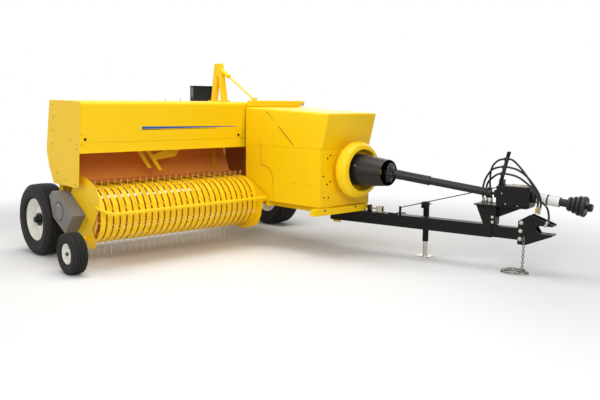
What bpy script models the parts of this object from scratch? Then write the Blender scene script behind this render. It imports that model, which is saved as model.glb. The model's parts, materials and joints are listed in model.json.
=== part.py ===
# Square baler: a towed hay baler with a tined pickup, a cross feeder, a bale
# chamber on the left and a tongue that swings under the flywheel.
# Metres, +X towards the hitch, +Y to the machine's left, +Z up.
# While it is built, X is 0 at the wheel axle and Y is 0 near the feeder's middle.
# At the end the whole machine is centred over the origin, standing on Z = 0.

import bpy
import bmesh
from math import atan2, cos, pi, radians, sin, tan
from mathutils import Matrix, Vector

# Shared sizes
SHEET = 0.004
SEAT_GAP = 0.0003
RUN_GAP = 0.006

# Main wheels
BEAD_SEAT = 0.014
MAIN_WHEELS = (
    # side, centre y, outer radius, width, rim radius
    ("right", -1.160, 0.344, 0.241, 0.200),
    ("left", 1.740, 0.363, 0.280, 0.200),
)
AXLE_BEAM = 0.090
SPINDLE_R = 0.028
HUB_R = 0.042
HUB_FLANGE_R = 0.062
PIN_GAP = 0.0006

# Gauge wheel of the pickup
GAUGE_X = 0.978
GAUGE_Y = -1.352
GAUGE_R = 0.183
GAUGE_WIDTH = 0.138
GAUGE_RIM_R = 0.088
GAUGE_SPINDLE_R = 0.012
GAUGE_ARM_THICK = 0.012
GAUGE_ARM_PIVOT = (0.760, 0.253)

# Frame under the plunger housing
RAIL_HEIGHT = 0.070
RAIL_WIDTH = 0.060
RAIL_BOTTOM = 0.430
RAIL_RIGHT_Y = 0.810
RAIL_REAR = -0.350
CROSS_XS = (-0.300, 0.400, 1.000)
OUTRIGGER_XS = (0.880, 1.160)
STRIP_X = (1.870, 1.936)
STRIP_Y = (0.600, 1.310)
STRIP_Z = (0.422, 0.484)
FEEDER_BEAM_X = 0.260
FEEDER_BEAM_SIZE = 0.074

# Bale chamber
CHAMBER_Y = 1.080
BALE_WIDTH = 0.356
BALE_HEIGHT = 0.457
CHAMBER_WALL = 0.006
CHAMBER_FLOOR_Z = 0.565
CHAMBER_REAR = -1.250
CHAMBER_FRONT = 1.100
FEED_OPENING_X = (0.160, 0.760)
TOP_PLATE_REAR = -0.555

# Feeder housing
FEEDER_RIGHT = -1.169
FEEDER_LEFT = 0.885
FEEDER_FRONT_TOP = 0.835
FEEDER_FRONT_LOW = 0.783
FEEDER_REAR = 0.218
FEEDER_TOP = 1.474
FEEDER_MOUTH_TOP = 1.017
FEEDER_SEAM = 1.111
FEEDER_FLOOR = 0.714
FEEDER_FLOOR_FRONT = 0.490
FORK_X = 0.480
FORK_RAIL_Z = (1.300, 1.350)

# Plunger housing, called the hood
HOOD_REAR = 0.842
HOOD_FRONT = 1.890
HOOD_LEAN = 0.090
HOOD_RIGHT_REAR = 0.651
HOOD_RIGHT_FRONT = 0.713
HOOD_LEFT = 1.390
HOOD_SEAM = 1.047
HOOD_TOP_REAR = 1.431
HOOD_TOP_FRONT = 1.385
HOOD_BOTTOM = 0.490
LID_HINGE_X = 1.120
LID_SPLIT_X = 1.533
SEAM_GAP = 0.001
DOOR_REAR = 1.070
DOOR_NOTCH_X = 1.250
DOOR_NOTCH_Z = 0.850

# Flywheel and the cone over the drive joint
SHAFT_Z = 0.845
SHAFT_R = 0.030
FLYWHEEL_R = 0.272
FLYWHEEL_OPENING_R = 0.198
FLYWHEEL_REAR = 1.942
FLYWHEEL_WIDTH = 0.160
FLYWHEEL_WEB = 0.056
CONE_BIG_R = 0.153
CONE_SMALL_R = 0.122
CONE_END_X = 2.413
CONE_WALL = 0.005
YOKE_END_X = 2.300
GEARBOX_X = (1.150, 1.550)
GEARBOX_Z = (0.600, 1.100)
GEARBOX_HALF = 0.165

# Pickup
LIFT_X = 0.420
LIFT_Z = 0.600
LIFT_TUBE_R = 0.022
HANGER_GAPS = (1.5, 13.5, 25.5)
REEL_X = 0.790
REEL_Z = 0.430
REEL_SHAFT_R = 0.027
TINE_TIP_R = 0.355
TINE_ROOT_R = 0.150
TINE_R = 0.003
TINE_LEAN = radians(8.0)
TINE_BARS = 4
REEL_DISC_THICK = 0.008
REEL_BAR_R = 0.011
BAND_COUNT = 27
FLARE_YS = (-1.115, 0.642)
BAND_WIDTH = 0.049
BAND_END_GAP = 0.003
BAND_PITCH = (FLARE_YS[1] - FLARE_YS[0] - SHEET - 2 * BAND_END_GAP - BAND_WIDTH) / (BAND_COUNT - 1)
FIRST_BAND_Y = FLARE_YS[0] + SHEET / 2 + BAND_END_GAP + BAND_WIDTH / 2
BAND_THICK = 0.003
BAND_X = 0.790
BAND_Z = 0.465
BAND_R = 0.250
GUARD_BAR_X = 1.168
GUARD_BAR_Z = 0.512
GUARD_BAR_R = 0.016
GUARD_ROD_R = 0.004
GUARD_ROD_LIFT = 0.018
LOW_BEAM_Z = (0.230, 0.270)
STIFFENER_YS = (-0.900, -0.330, 0.400)
STIFFENER_WIDTH = 0.060
DRIVE_SHIELD_Y = -1.240

# Tongue, in its own frame: u forwards from the pivot, v to the left
TONGUE_PIVOT_X = 1.600
TONGUE_PIVOT_Y = 1.243
TONGUE_ANGLE = radians(12.2)
TONGUE_BOTTOM = 0.300
TONGUE_TOP = 0.415
TONGUE_WIDTH = 0.102
TONGUE_STEP_U = 1.660
TONGUE_END_U = 1.920
PIVOT_PIN_R = 0.025
HITCH_START = 1.900
HITCH_PEAK = 2.000
HITCH_TIP = 2.200
HITCH_PLATE = 0.012
JAW_Z = (0.374, 0.457)
JAW_PIN_R = 0.017
BOX_REAR_U = 1.700
BOX_LENGTH = 0.300
STAND_TOP_U = (1.500, BOX_REAR_U - 0.003)
STAND_LOW_U = (1.580, 1.690)
BOX_U = (BOX_REAR_U, BOX_REAR_U + BOX_LENGTH)
BOX_WIDTH = 0.180
BOX_Z = (0.600, 0.775)
HOSE_MAST_U = (BOX_REAR_U + 0.004, BOX_REAR_U + 0.073)
HOSE_MAST_TOP = 1.073
HOSE_MAST_THICK = 0.012
HOSE_R = 0.009
JACK_U = 0.916
JACK_V = 0.167
JACK_TUBE_R = 0.029
JACK_LEG_R = 0.022
JACK_TOP = 0.510
JACK_TUBE_BOTTOM = 0.150
JACK_TRAVEL = 0.135
DRIVE_REAR = (2.400, 1.080, 0.848)
DRIVE_FRONT_U = BOX_REAR_U - 0.031
DRIVE_FRONT_Z = 0.692
DRIVE_OUTER_R = 0.036
DRIVE_INNER_R = 0.028
DRIVE_BARE = 0.355
FRONT_SHAFT_FALL = 0.110
FRONT_SHAFT_Z = 0.690
YOKE_ROD_R = 0.014

# Rear end
CHUTE_LENGTH = 0.350
CHUTE_WIDTH = 0.360
CHUTE_PIN_R = 0.006
TENSION_FRAME_X = CHAMBER_REAR + 0.200
KNOTTER_X = -0.340
KNOTTER_SHIELD_X = (-0.540, -0.462)
KNOTTER_SHIELD_Z = (1.250, 1.660)
TWINE_BOX_X = (-1.012, KNOTTER_X - 0.040)
TWINE_BOX_WIDTH = 0.300
TWINE_BOX_Z = (0.780, 1.200)
TWINE_BOX_SHEET = 0.003

# Mast on the feeder
MAST_Y = (0.745, 0.795)
MAST_TOP = 1.890

MODEL = "square_baler"
PAINT = {
    # name: colour, roughness, metallic
    "yellow_paint": ((0.93, 0.60, 0.02, 1.0), 0.35, 0.0),
    "black_paint": ((0.02, 0.02, 0.022, 1.0), 0.4, 0.0),
    "black_plastic": ((0.015, 0.015, 0.017, 1.0), 0.45, 0.0),
    "grey_paint": ((0.12, 0.12, 0.12, 1.0), 0.45, 0.0),
    "tyre_rubber": ((0.02, 0.02, 0.02, 1.0), 0.8, 0.0),
    "white_paint": ((0.85, 0.83, 0.76, 1.0), 0.4, 0.0),
    "zinc": ((0.62, 0.6, 0.55, 1.0), 0.35, 1.0),
    "cast_iron": ((0.1, 0.1, 0.11, 1.0), 0.55, 0.6),
}

for old in list(bpy.data.objects):
    bpy.data.objects.remove(old)

machine = bpy.data.collections.new(MODEL)
bpy.context.scene.collection.children.link(machine)
cutters = bpy.data.collections.new("cutters")
bpy.context.scene.collection.children.link(cutters)


def make_paints():
    paints = {}
    for name, (colour, roughness, metallic) in PAINT.items():
        paint = bpy.data.materials.new(name)
        paint.use_nodes = True
        shader = paint.node_tree.nodes["Principled BSDF"]
        shader.inputs["Base Color"].default_value = colour
        shader.inputs["Roughness"].default_value = roughness
        shader.inputs["Metallic"].default_value = metallic
        paints[name] = paint
    return paints


PAINTS = make_paints()


def add_object(name, mesh, paint):
    """Puts a mesh in the machine's collection with one paint."""
    item = bpy.data.objects.new(name, mesh)
    mesh.materials.clear()
    mesh.materials.append(PAINTS[paint])
    machine.objects.link(item)
    return item


def baked(item):
    """Turns what an object shows, with its modifiers, into its own mesh."""
    bpy.context.view_layer.update()
    graph = bpy.context.evaluated_depsgraph_get()
    mesh = bpy.data.meshes.new_from_object(item.evaluated_get(graph), depsgraph=graph)
    form = bmesh.new()
    form.from_mesh(mesh)
    bmesh.ops.remove_doubles(form, verts=form.verts, dist=0.00002)
    bmesh.ops.recalc_face_normals(form, faces=form.faces)
    form.to_mesh(mesh)
    form.free()
    paint = item.active_material.name
    name = item.name
    matrix = item.matrix_basis.copy()
    bpy.data.objects.remove(item)
    result = add_object(name, mesh, paint)
    result.name = name
    result.matrix_basis = matrix
    return result


def smooth(item, angle=35.0):
    """Shades a round piece smooth and keeps its edges sharp."""
    item.data.shade_smooth()
    item.data.set_sharp_from_angle(angle=radians(angle))
    return item


def box_form(low, high):
    """A cube stretched between two corners, as a mesh to edit."""
    form = bmesh.new()
    bmesh.ops.create_cube(form, size=1.0)
    centre = (Vector(low) + Vector(high)) / 2
    size = Vector(high) - Vector(low)
    for vert in form.verts:
        vert.co = Vector((vert.co.x * size.x, vert.co.y * size.y, vert.co.z * size.z)) + centre
    return form


def block(name, low, high, paint, bevel=0.0):
    """A box from its low and high corners."""
    mesh = bpy.data.meshes.new(name)
    form = box_form(low, high)
    form.to_mesh(mesh)
    form.free()
    item = add_object(name, mesh, paint)
    if bevel:
        edge = item.modifiers.new("edges", "BEVEL")
        edge.width = bevel
        edge.segments = 2
    return item


def arc(centre, radius, start, end, steps):
    """Points along a circle from one angle to another, in degrees."""
    turns = [radians(start + (end - start) * i / steps) for i in range(steps + 1)]
    return [(centre[0] + radius * cos(t), centre[1] + radius * sin(t)) for t in turns]


def round_hole(centre, radius, sides=24):
    """The points of a whole circle, without its first one again at the end."""
    return arc(centre, radius, 0, 360 - 360 / sides, sides - 1)


def basis(origin, u_axis, v_axis):
    """A placing matrix from an origin and two directions at right angles."""
    u = Vector(u_axis).normalized()
    v = Vector(v_axis).normalized()
    w = u.cross(v)
    matrix = Matrix((u, v, w)).transposed().to_4x4()
    matrix.translation = Vector(origin)
    return matrix


def flat(name, outlines, thickness, paint, origin=(0, 0, 0), u_axis=(1, 0, 0), v_axis=(0, 1, 0)):
    """A flat plate from one outline and its holes, centred on its plane."""
    curve = bpy.data.curves.new(name, "CURVE")
    curve.dimensions = "2D"
    curve.fill_mode = "BOTH"
    curve.extrude = thickness / 2
    for outline in outlines:
        spline = curve.splines.new("POLY")
        spline.points.add(len(outline) - 1)
        for point, (u, v) in zip(spline.points, outline):
            point.co = (u, v, 0.0, 1.0)
        spline.use_cyclic_u = True
    item = bpy.data.objects.new(name, curve)
    item.data.materials.append(PAINTS[paint])
    machine.objects.link(item)
    item.matrix_basis = basis(origin, u_axis, v_axis)
    return baked(item)


def side_plate(name, outlines, y_low, y_high, paint):
    """A flat plate standing in the XZ plane between two Y values."""
    middle = (y_low + y_high) / 2
    return flat(name, outlines, y_high - y_low, paint, (0, middle, 0), (1, 0, 0), (0, 0, 1))


def turned(name, profile, at, along, steps, paint, closed=False):
    """Turns a profile of (radius, height) about an axis through a point."""
    mesh = bpy.data.meshes.new(name)
    count = len(profile)
    edges = [(i, i + 1) for i in range(count - 1)]
    if closed:
        edges.append((count - 1, 0))
    mesh.from_pydata([(radius, 0.0, height) for radius, height in profile], edges, [])
    item = add_object(name, mesh, paint)
    screw = item.modifiers.new("turn", "SCREW")
    screw.steps = steps
    screw.render_steps = steps
    screw.use_merge_vertices = True
    screw.merge_threshold = 0.00001
    item.location = at
    item.rotation_mode = "QUATERNION"
    item.rotation_quaternion = Vector(along).to_track_quat("Z", "X")
    return item


def rod(name, start, end, radius, paint, sides=16):
    """A plain round bar between two points."""
    start = Vector(start)
    end = Vector(end)
    length = (end - start).length
    profile = [(0.0, length), (radius, length), (radius, 0.0), (0.0, 0.0)]
    return turned(name, profile, start, end - start, sides, paint)


def pipe(name, points, radius, paint, resolution=2):
    """A round tube or wire along a chain of points."""
    curve = bpy.data.curves.new(name, "CURVE")
    curve.dimensions = "3D"
    curve.bevel_depth = radius
    curve.bevel_resolution = resolution
    curve.use_fill_caps = True
    spline = curve.splines.new("POLY")
    spline.points.add(len(points) - 1)
    for point, place in zip(spline.points, points):
        point.co = (*place, 1.0)
    item = bpy.data.objects.new(name, curve)
    item.data.materials.append(PAINTS[paint])
    machine.objects.link(item)
    return baked(item)


def fused(base, parts):
    """Joins overlapping pieces into one body and keeps the base's name."""
    group = bpy.data.collections.new("joining")
    for part in parts:
        machine.objects.unlink(part)
        group.objects.link(part)
    bpy.context.scene.collection.children.link(group)
    join = base.modifiers.new("join", "BOOLEAN")
    join.operation = "UNION"
    join.operand_type = "COLLECTION"
    join.collection = group
    result = baked(base)
    for part in parts:
        bpy.data.objects.remove(part)
    bpy.data.collections.remove(group)
    return result


def cut(base, cutter):
    """Takes one piece's shape out of another."""
    machine.objects.unlink(cutter)
    cutters.objects.link(cutter)
    cutter.hide_render = True
    cutter.display_type = "WIRE"
    tool = base.modifiers.new("cut", "BOOLEAN")
    tool.operation = "DIFFERENCE"
    tool.object = cutter
    result = baked(base)
    bpy.data.objects.remove(cutter)
    return result


def pivot(name, at, parent=None, turn=0.0):
    """An empty on a joint's axis, which carries what moves about it."""
    empty = bpy.data.objects.new(name, None)
    machine.objects.link(empty)
    empty.location = at
    empty.rotation_euler = (0.0, 0.0, turn)
    bpy.context.view_layer.update()
    if parent:
        carry(parent, [empty])
    return empty


def carry(parent, items):
    """Parents pieces that already stand in their world places."""
    bpy.context.view_layer.update()
    for item in items:
        item.parent = parent
        item.matrix_parent_inverse = parent.matrix_world.inverted()


def ride(parent, items):
    """Parents pieces that are written in the parent's own frame."""
    for item in items:
        item.parent = parent
    bpy.context.view_layer.update()


def thickened(item, thickness):
    """Gives an open surface an even wall on its inner side."""
    wall = item.modifiers.new("wall", "SOLIDIFY")
    wall.thickness = thickness
    wall.offset = -1.0
    wall.use_even_offset = True
    return baked(item)


def sheet(name, path, y_low, y_high, thickness, paint):
    """A bent sheet of even thickness that follows an XZ path across a width."""
    mesh = bpy.data.meshes.new(name)
    form = bmesh.new()
    rows = [[form.verts.new((x, y, z)) for y in (y_low, y_high)] for x, z in path]
    for first, second in zip(rows, rows[1:]):
        form.faces.new((first[0], first[1], second[1], second[0]))
    form.to_mesh(mesh)
    form.free()
    item = add_object(name, mesh, paint)
    return thickened(item, thickness)


def open_box(name, low, high, gone, thickness, paint):
    """A sheet box without the faces whose outward directions are listed."""
    mesh = bpy.data.meshes.new(name)
    form = box_form(low, high)
    form.normal_update()
    faces = [face for face in form.faces if any(face.normal.dot(Vector(way)) > 0.9 for way in gone)]
    bmesh.ops.delete(form, geom=faces, context="FACES")
    form.to_mesh(mesh)
    form.free()
    item = add_object(name, mesh, paint)
    return thickened(item, thickness)


def tyre_profile(outer, width, rim):
    """A closed tyre section: tread, shoulders, side walls and beads."""
    half = width / 2
    wall = (outer - rim) * 0.18
    bead = half * 0.72
    middle = rim + (outer - rim) * 0.45
    outside = [(rim + 0.002, bead), (rim + 0.014, half * 0.86), (middle, half), (outer - 0.030, half * 0.93),
               (outer - 0.006, half * 0.66)]
    inside = [(rim + 0.002, bead - wall), (outer - wall, half * 0.72)]
    outside_low = [(radius, -height) for radius, height in reversed(outside)]
    inside_up = [(radius, height) for radius, height in reversed(inside)]
    inside_low = [(radius, -height) for radius, height in inside]
    return outside + outside_low + inside_low + inside_up


def rim_profile(rim, width, bore):
    """A rim with a well, two flanges and a dished centre disc."""
    half = width * 0.36
    edge = rim + 0.002 - SEAT_GAP
    return [(bore, 0.045), (rim * 0.62, 0.030), (rim * 0.74, 0.006), (rim - 0.030, 0.012),
            (edge - 0.010, half - 0.004), (edge - 0.008, half + 0.004), (edge, half + 0.004),
            (edge, half - BEAD_SEAT), (rim - 0.016, half * 0.45), (rim - 0.016, -half * 0.6),
            (edge, BEAD_SEAT - half), (edge, -half - 0.004), (edge - 0.008, -half - 0.004),
            (rim - 0.030, -half * 0.6), (rim * 0.74, -0.006), (rim * 0.62, 0.018), (bore, 0.033)]


def make_tyre_and_rim(name, at, outer, width, rim, bore, outward, steps):
    """A tyre on its rim, both turned about a sideways axis."""
    up = (0.0, outward, 0.0)
    tyre = turned(name + "_tyre", tyre_profile(outer, width, rim), at, up, steps, "tyre_rubber", True)
    disc = turned(name + "_rim", rim_profile(rim, width, bore), at, up, steps, "white_paint", True)
    return [smooth(tyre), smooth(disc)]


def make_main_wheels():
    for side, y, outer, width, rim in MAIN_WHEELS:
        outward = -1.0 if y < 0 else 1.0
        at = (0.0, y, outer)
        pieces = make_tyre_and_rim(side + "_wheel", at, outer, width, rim, HUB_R + PIN_GAP * 2, outward, 32)
        bore = SPINDLE_R + PIN_GAP
        hub_profile = [(0.0, 0.100), (0.026, 0.100), (HUB_R - 0.010, 0.080), (HUB_R - 0.004, 0.062),
                       (HUB_FLANGE_R, 0.060), (HUB_FLANGE_R, 0.048), (HUB_R, 0.0453), (HUB_R, -0.050),
                       (bore, -0.050), (bore, 0.070), (0.0, 0.070)]
        hub = turned(side + "_wheel_hub", hub_profile, at, (0, outward, 0), 18, "black_paint")
        axis = pivot(side + "_wheel_axis", at)
        carry(axis, pieces + [smooth(baked(hub))])


def make_axle():
    """A square beam with a spindle at each end and an arm up to the feeder at the right."""
    half = AXLE_BEAM / 2
    axle_z = RAIL_BOTTOM - SEAT_GAP - half
    ends = [MAIN_WHEELS[0][1] + MAIN_WHEELS[0][3] / 2 + 0.030,
            MAIN_WHEELS[1][1] - MAIN_WHEELS[1][3] / 2 - 0.030]
    beam = block("axle", (-half, ends[0], axle_z - half), (half, ends[1], axle_z + half), "black_paint")
    joins = []
    for end, (_, y, outer, _, _) in zip(ends, MAIN_WHEELS):
        outward = -1.0 if y < 0 else 1.0
        low, high = sorted((end, end - outward * 0.050))
        joins.append(block("knuckle", (-0.040, low, outer - 0.050), (0.040, high, axle_z), "black_paint"))
        joins.append(rod("spindle", (0, end - outward * 0.020, outer), (0, y + outward * 0.065, outer),
                         SPINDLE_R, "black_paint", 24))
    lean = [(-0.040, axle_z - half), (0.040, axle_z - half), (FEEDER_BEAM_X + 0.04, feeder_beam_low() - 0.06),
            (FEEDER_BEAM_X + 0.04, feeder_beam_low() - SEAT_GAP),
            (FEEDER_BEAM_X - 0.04, feeder_beam_low() - SEAT_GAP), (-0.040, axle_z + half)]
    joins.append(side_plate("arm", [lean], ends[0] + 0.01, ends[0] + 0.05, "black_paint"))
    return fused(beam, joins)


def feeder_beam_low():
    return FEEDER_FLOOR - SHEET - SEAT_GAP - FEEDER_BEAM_SIZE


def make_frame():
    """Two rails with cross members, a front strip and the tongue's pivot pin."""
    top = RAIL_BOTTOM + RAIL_HEIGHT
    front = HOOD_FRONT - SHEET - SEAT_GAP
    right_rail, left_rail = rail_ys()
    rails = [block("main_frame", (RAIL_REAR, y - RAIL_WIDTH / 2, RAIL_BOTTOM),
                   (front, y + RAIL_WIDTH / 2, top), "yellow_paint") for y in rail_ys()]
    joins = rails[1:]
    under_chamber = CHAMBER_FLOOR_Z - CHAMBER_WALL - SEAT_GAP
    for x in CROSS_XS:
        joins.append(block("cross", (x - 0.03, right_rail, RAIL_BOTTOM + 0.01),
                           (x + 0.03, left_rail, under_chamber), "yellow_paint"))
    for x in OUTRIGGER_XS:
        end = hood_right(x + 0.02) + SHEET * 1.01 + SEAT_GAP
        joins.append(block("outrigger", (x - 0.02, end, RAIL_BOTTOM + 0.005),
                           (x + 0.02, right_rail, top + 0.020), "yellow_paint"))
    joins.append(block("strip", (STRIP_X[0], STRIP_Y[0], STRIP_Z[0]), (STRIP_X[1], STRIP_Y[1], STRIP_Z[1]),
                       "yellow_paint"))
    joins.append(block("pivot_beam", (TONGUE_PIVOT_X - 0.06, right_rail, RAIL_BOTTOM + 0.001),
                       (TONGUE_PIVOT_X + 0.06, left_rail, top - 0.001), "yellow_paint"))
    pin_low = TONGUE_BOTTOM - 0.025
    joins.append(rod("pin", (TONGUE_PIVOT_X, TONGUE_PIVOT_Y, pin_low),
                     (TONGUE_PIVOT_X, TONGUE_PIVOT_Y, top - 0.01), PIVOT_PIN_R, "yellow_paint", 24))
    joins.append(rod("pin_head", (TONGUE_PIVOT_X, TONGUE_PIVOT_Y, pin_low - 0.001),
                     (TONGUE_PIVOT_X, TONGUE_PIVOT_Y, TONGUE_BOTTOM - RUN_GAP), PIVOT_PIN_R + 0.015,
                     "yellow_paint", 24))
    return fused(rails[0], joins)


def make_feeder_beam():
    """The beam under the feeder's floor with its foot on the frame."""
    low = feeder_beam_low()
    beam = block("feeder_beam", (FEEDER_BEAM_X - 0.040, -1.100, low), (FEEDER_BEAM_X + 0.040, 0.840,
                 low + FEEDER_BEAM_SIZE), "yellow_paint")
    right_rail = rail_ys()[0]
    foot = block("foot", (FEEDER_BEAM_X - 0.030, right_rail - 0.025, RAIL_BOTTOM + RAIL_HEIGHT + SEAT_GAP),
                 (FEEDER_BEAM_X + 0.030, right_rail + 0.025, low + 0.020), "yellow_paint")
    joins = [foot]
    hanger = [(FEEDER_BEAM_X - 0.030, low + 0.004), (FEEDER_BEAM_X + 0.043, low + 0.004),
              (LIFT_X - 0.010, LIFT_Z - 0.034), (LIFT_X + 0.018, LIFT_Z - 0.032), (LIFT_X + 0.036, LIFT_Z),
              (LIFT_X + 0.020, LIFT_Z + 0.032), (FEEDER_BEAM_X + 0.036, low + 0.066),
              (FEEDER_BEAM_X - 0.030, low + 0.066)]
    hole = round_hole((LIFT_X, LIFT_Z), LIFT_TUBE_R + PIN_GAP * 1.5)
    for gap in HANGER_GAPS:
        y = FIRST_BAND_Y + gap * BAND_PITCH
        joins.append(side_plate("hanger", [hanger, hole], y - 0.004, y + 0.004, "yellow_paint"))
    return fused(beam, joins)


def make_chamber():
    """Floor, two side walls and a top around the bale's path."""
    half = BALE_WIDTH / 2
    wall = CHAMBER_WALL
    low = CHAMBER_FLOOR_Z
    high = CHAMBER_FLOOR_Z + BALE_HEIGHT
    left_in = CHAMBER_Y + half
    right_in = CHAMBER_Y - half
    block("chamber_floor", (CHAMBER_REAR, right_in - wall, low - wall), (CHAMBER_FRONT, left_in + wall, low),
          "yellow_paint")
    outline = [(CHAMBER_REAR, low + SEAT_GAP), (CHAMBER_FRONT, low + SEAT_GAP), (CHAMBER_FRONT, high),
               (CHAMBER_REAR, high)]
    side_plate("chamber_left_wall", [outline], left_in, left_in + wall, "yellow_paint")
    mouth = [(FEED_OPENING_X[0], 0.600), (FEED_OPENING_X[1], 0.600), (FEED_OPENING_X[1], high - 0.022),
             (FEED_OPENING_X[0], high - 0.022)]
    side_plate("chamber_right_wall", [outline, mouth], right_in - wall, right_in, "yellow_paint")
    block("chamber_top", (TOP_PLATE_REAR, right_in - wall, high + SEAT_GAP), (CHAMBER_FRONT, left_in + wall,
          high + wall), "yellow_paint")


def feeder_top_rear():
    """The top's height at its rear edge, where it climbs a little."""
    return FEEDER_TOP + 0.009


def make_feeder():
    """The feeder's wrapped sheet, its right end panel and the closed left end above the chamber."""
    corner = arc((FEEDER_FRONT_TOP - 0.030, FEEDER_TOP - 0.030), 0.030, 0, 90, 4)
    seam_x = FEEDER_FRONT_LOW + (FEEDER_FRONT_TOP - FEEDER_FRONT_LOW) * (FEEDER_SEAM - FEEDER_MOUTH_TOP) / (
        FEEDER_TOP - FEEDER_MOUTH_TOP)
    path = [(FEEDER_FRONT_LOW, FEEDER_MOUTH_TOP), (seam_x - 0.006, FEEDER_SEAM - 0.004),
            (seam_x, FEEDER_SEAM + 0.004)]
    path += corner
    path += [(FEEDER_REAR, feeder_top_rear()), (0.140, 1.109), (0.122, 1.014), (0.170, 0.860),
             (0.256, FEEDER_FLOOR), (FEEDER_FLOOR_FRONT, FEEDER_FLOOR)]
    shell = sheet("feeder_shell", path, FEEDER_RIGHT + SHEET + SEAT_GAP, FEEDER_LEFT, SHEET, "yellow_paint")
    left = [(FEEDER_REAR + 0.006, feeder_top_rear() - 0.003), (0.146, 1.105), (0.146, 1.040), (0.782, 1.040),
            (FEEDER_FRONT_TOP - 0.004, FEEDER_TOP - 0.030), (FEEDER_FRONT_TOP - 0.032, FEEDER_TOP - 0.003)]
    closing = side_plate("left_end", [left], FEEDER_LEFT - SHEET, FEEDER_LEFT - 0.0005, "yellow_paint")
    smooth(fused(shell, [closing]), 30.0)
    right = [(FEEDER_REAR, feeder_top_rear()), (0.140, 1.109), (0.122, 1.014), (0.170, 0.860),
             (0.256, FEEDER_FLOOR), (0.700, 0.706), (0.745, 0.712), (0.760, 0.735),
             (FEEDER_FRONT_LOW, FEEDER_MOUTH_TOP)] + corner
    side_plate("feeder_end_panel", [right], FEEDER_RIGHT, FEEDER_RIGHT + SHEET, "yellow_paint")


def make_feeder_fork():
    """The packer fork whose two bars and arm reach down and across into the mouth."""
    low, high = FORK_RAIL_Z
    mid = (low + high) / 2
    rail = block("feeder_fork", (FORK_X - 0.030, -0.900, low), (FORK_X + 0.030, 0.600, high), "yellow_paint")
    climb = (feeder_top_rear() - FEEDER_TOP) / (FEEDER_FRONT_TOP - 0.030 - FEEDER_REAR)
    under_top = FEEDER_TOP + climb * (FEEDER_FRONT_TOP - 0.030 - FORK_X - 0.015) - SHEET - SEAT_GAP
    joins = []
    bars = (
        # x, top y, low y, low z
        (FORK_X + 0.020, -0.527, -0.168, 0.800),
        (FORK_X - 0.022, -0.610, -0.262, 0.822),
    )
    for x, top_y, low_y, low_z in bars:
        outline = [(top_y - 0.034, mid), (top_y + 0.034, mid), (low_y + 0.020, low_z),
                   (low_y - 0.020, low_z - 0.002)]
        joins.append(flat("bar", [outline], 0.014, "yellow_paint", (x, 0, 0), (0, 1, 0), (0, 0, 1)))
    arm = [(-0.215, 0.905), (0.008, 0.930), (0.062, 0.995), (0.262, mid), (0.180, mid), (0.020, 1.040),
           (-0.120, 1.000), (-0.262, 0.950)]
    joins.append(flat("arm", [arm], 0.012, "yellow_paint", (FORK_X + 0.020, 0, 0), (0, 1, 0), (0, 0, 1)))
    for y in (-0.860, 0.560):
        joins.append(block("hanger", (FORK_X - 0.015, y - 0.02, mid), (FORK_X + 0.015, y + 0.02, under_top),
                           "yellow_paint"))
    return fused(rail, joins)


def hood_top(x):
    """The hood's top surface, which falls towards the front."""
    share = (x - HOOD_REAR) / (HOOD_FRONT + HOOD_LEAN - HOOD_REAR)
    return HOOD_TOP_REAR + share * (HOOD_TOP_FRONT - HOOD_TOP_REAR)


def hood_right(x):
    """The hood's right side, which comes in towards the front."""
    share = (x - HOOD_REAR) / (HOOD_FRONT - HOOD_REAR)
    return HOOD_RIGHT_REAR + share * (HOOD_RIGHT_FRONT - HOOD_RIGHT_REAR)


def rail_ys():
    """The two rails' middles: the left one seats on the hood's left wall."""
    return (RAIL_RIGHT_Y, HOOD_LEFT - SHEET - SEAT_GAP - RAIL_WIDTH / 2)


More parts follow.
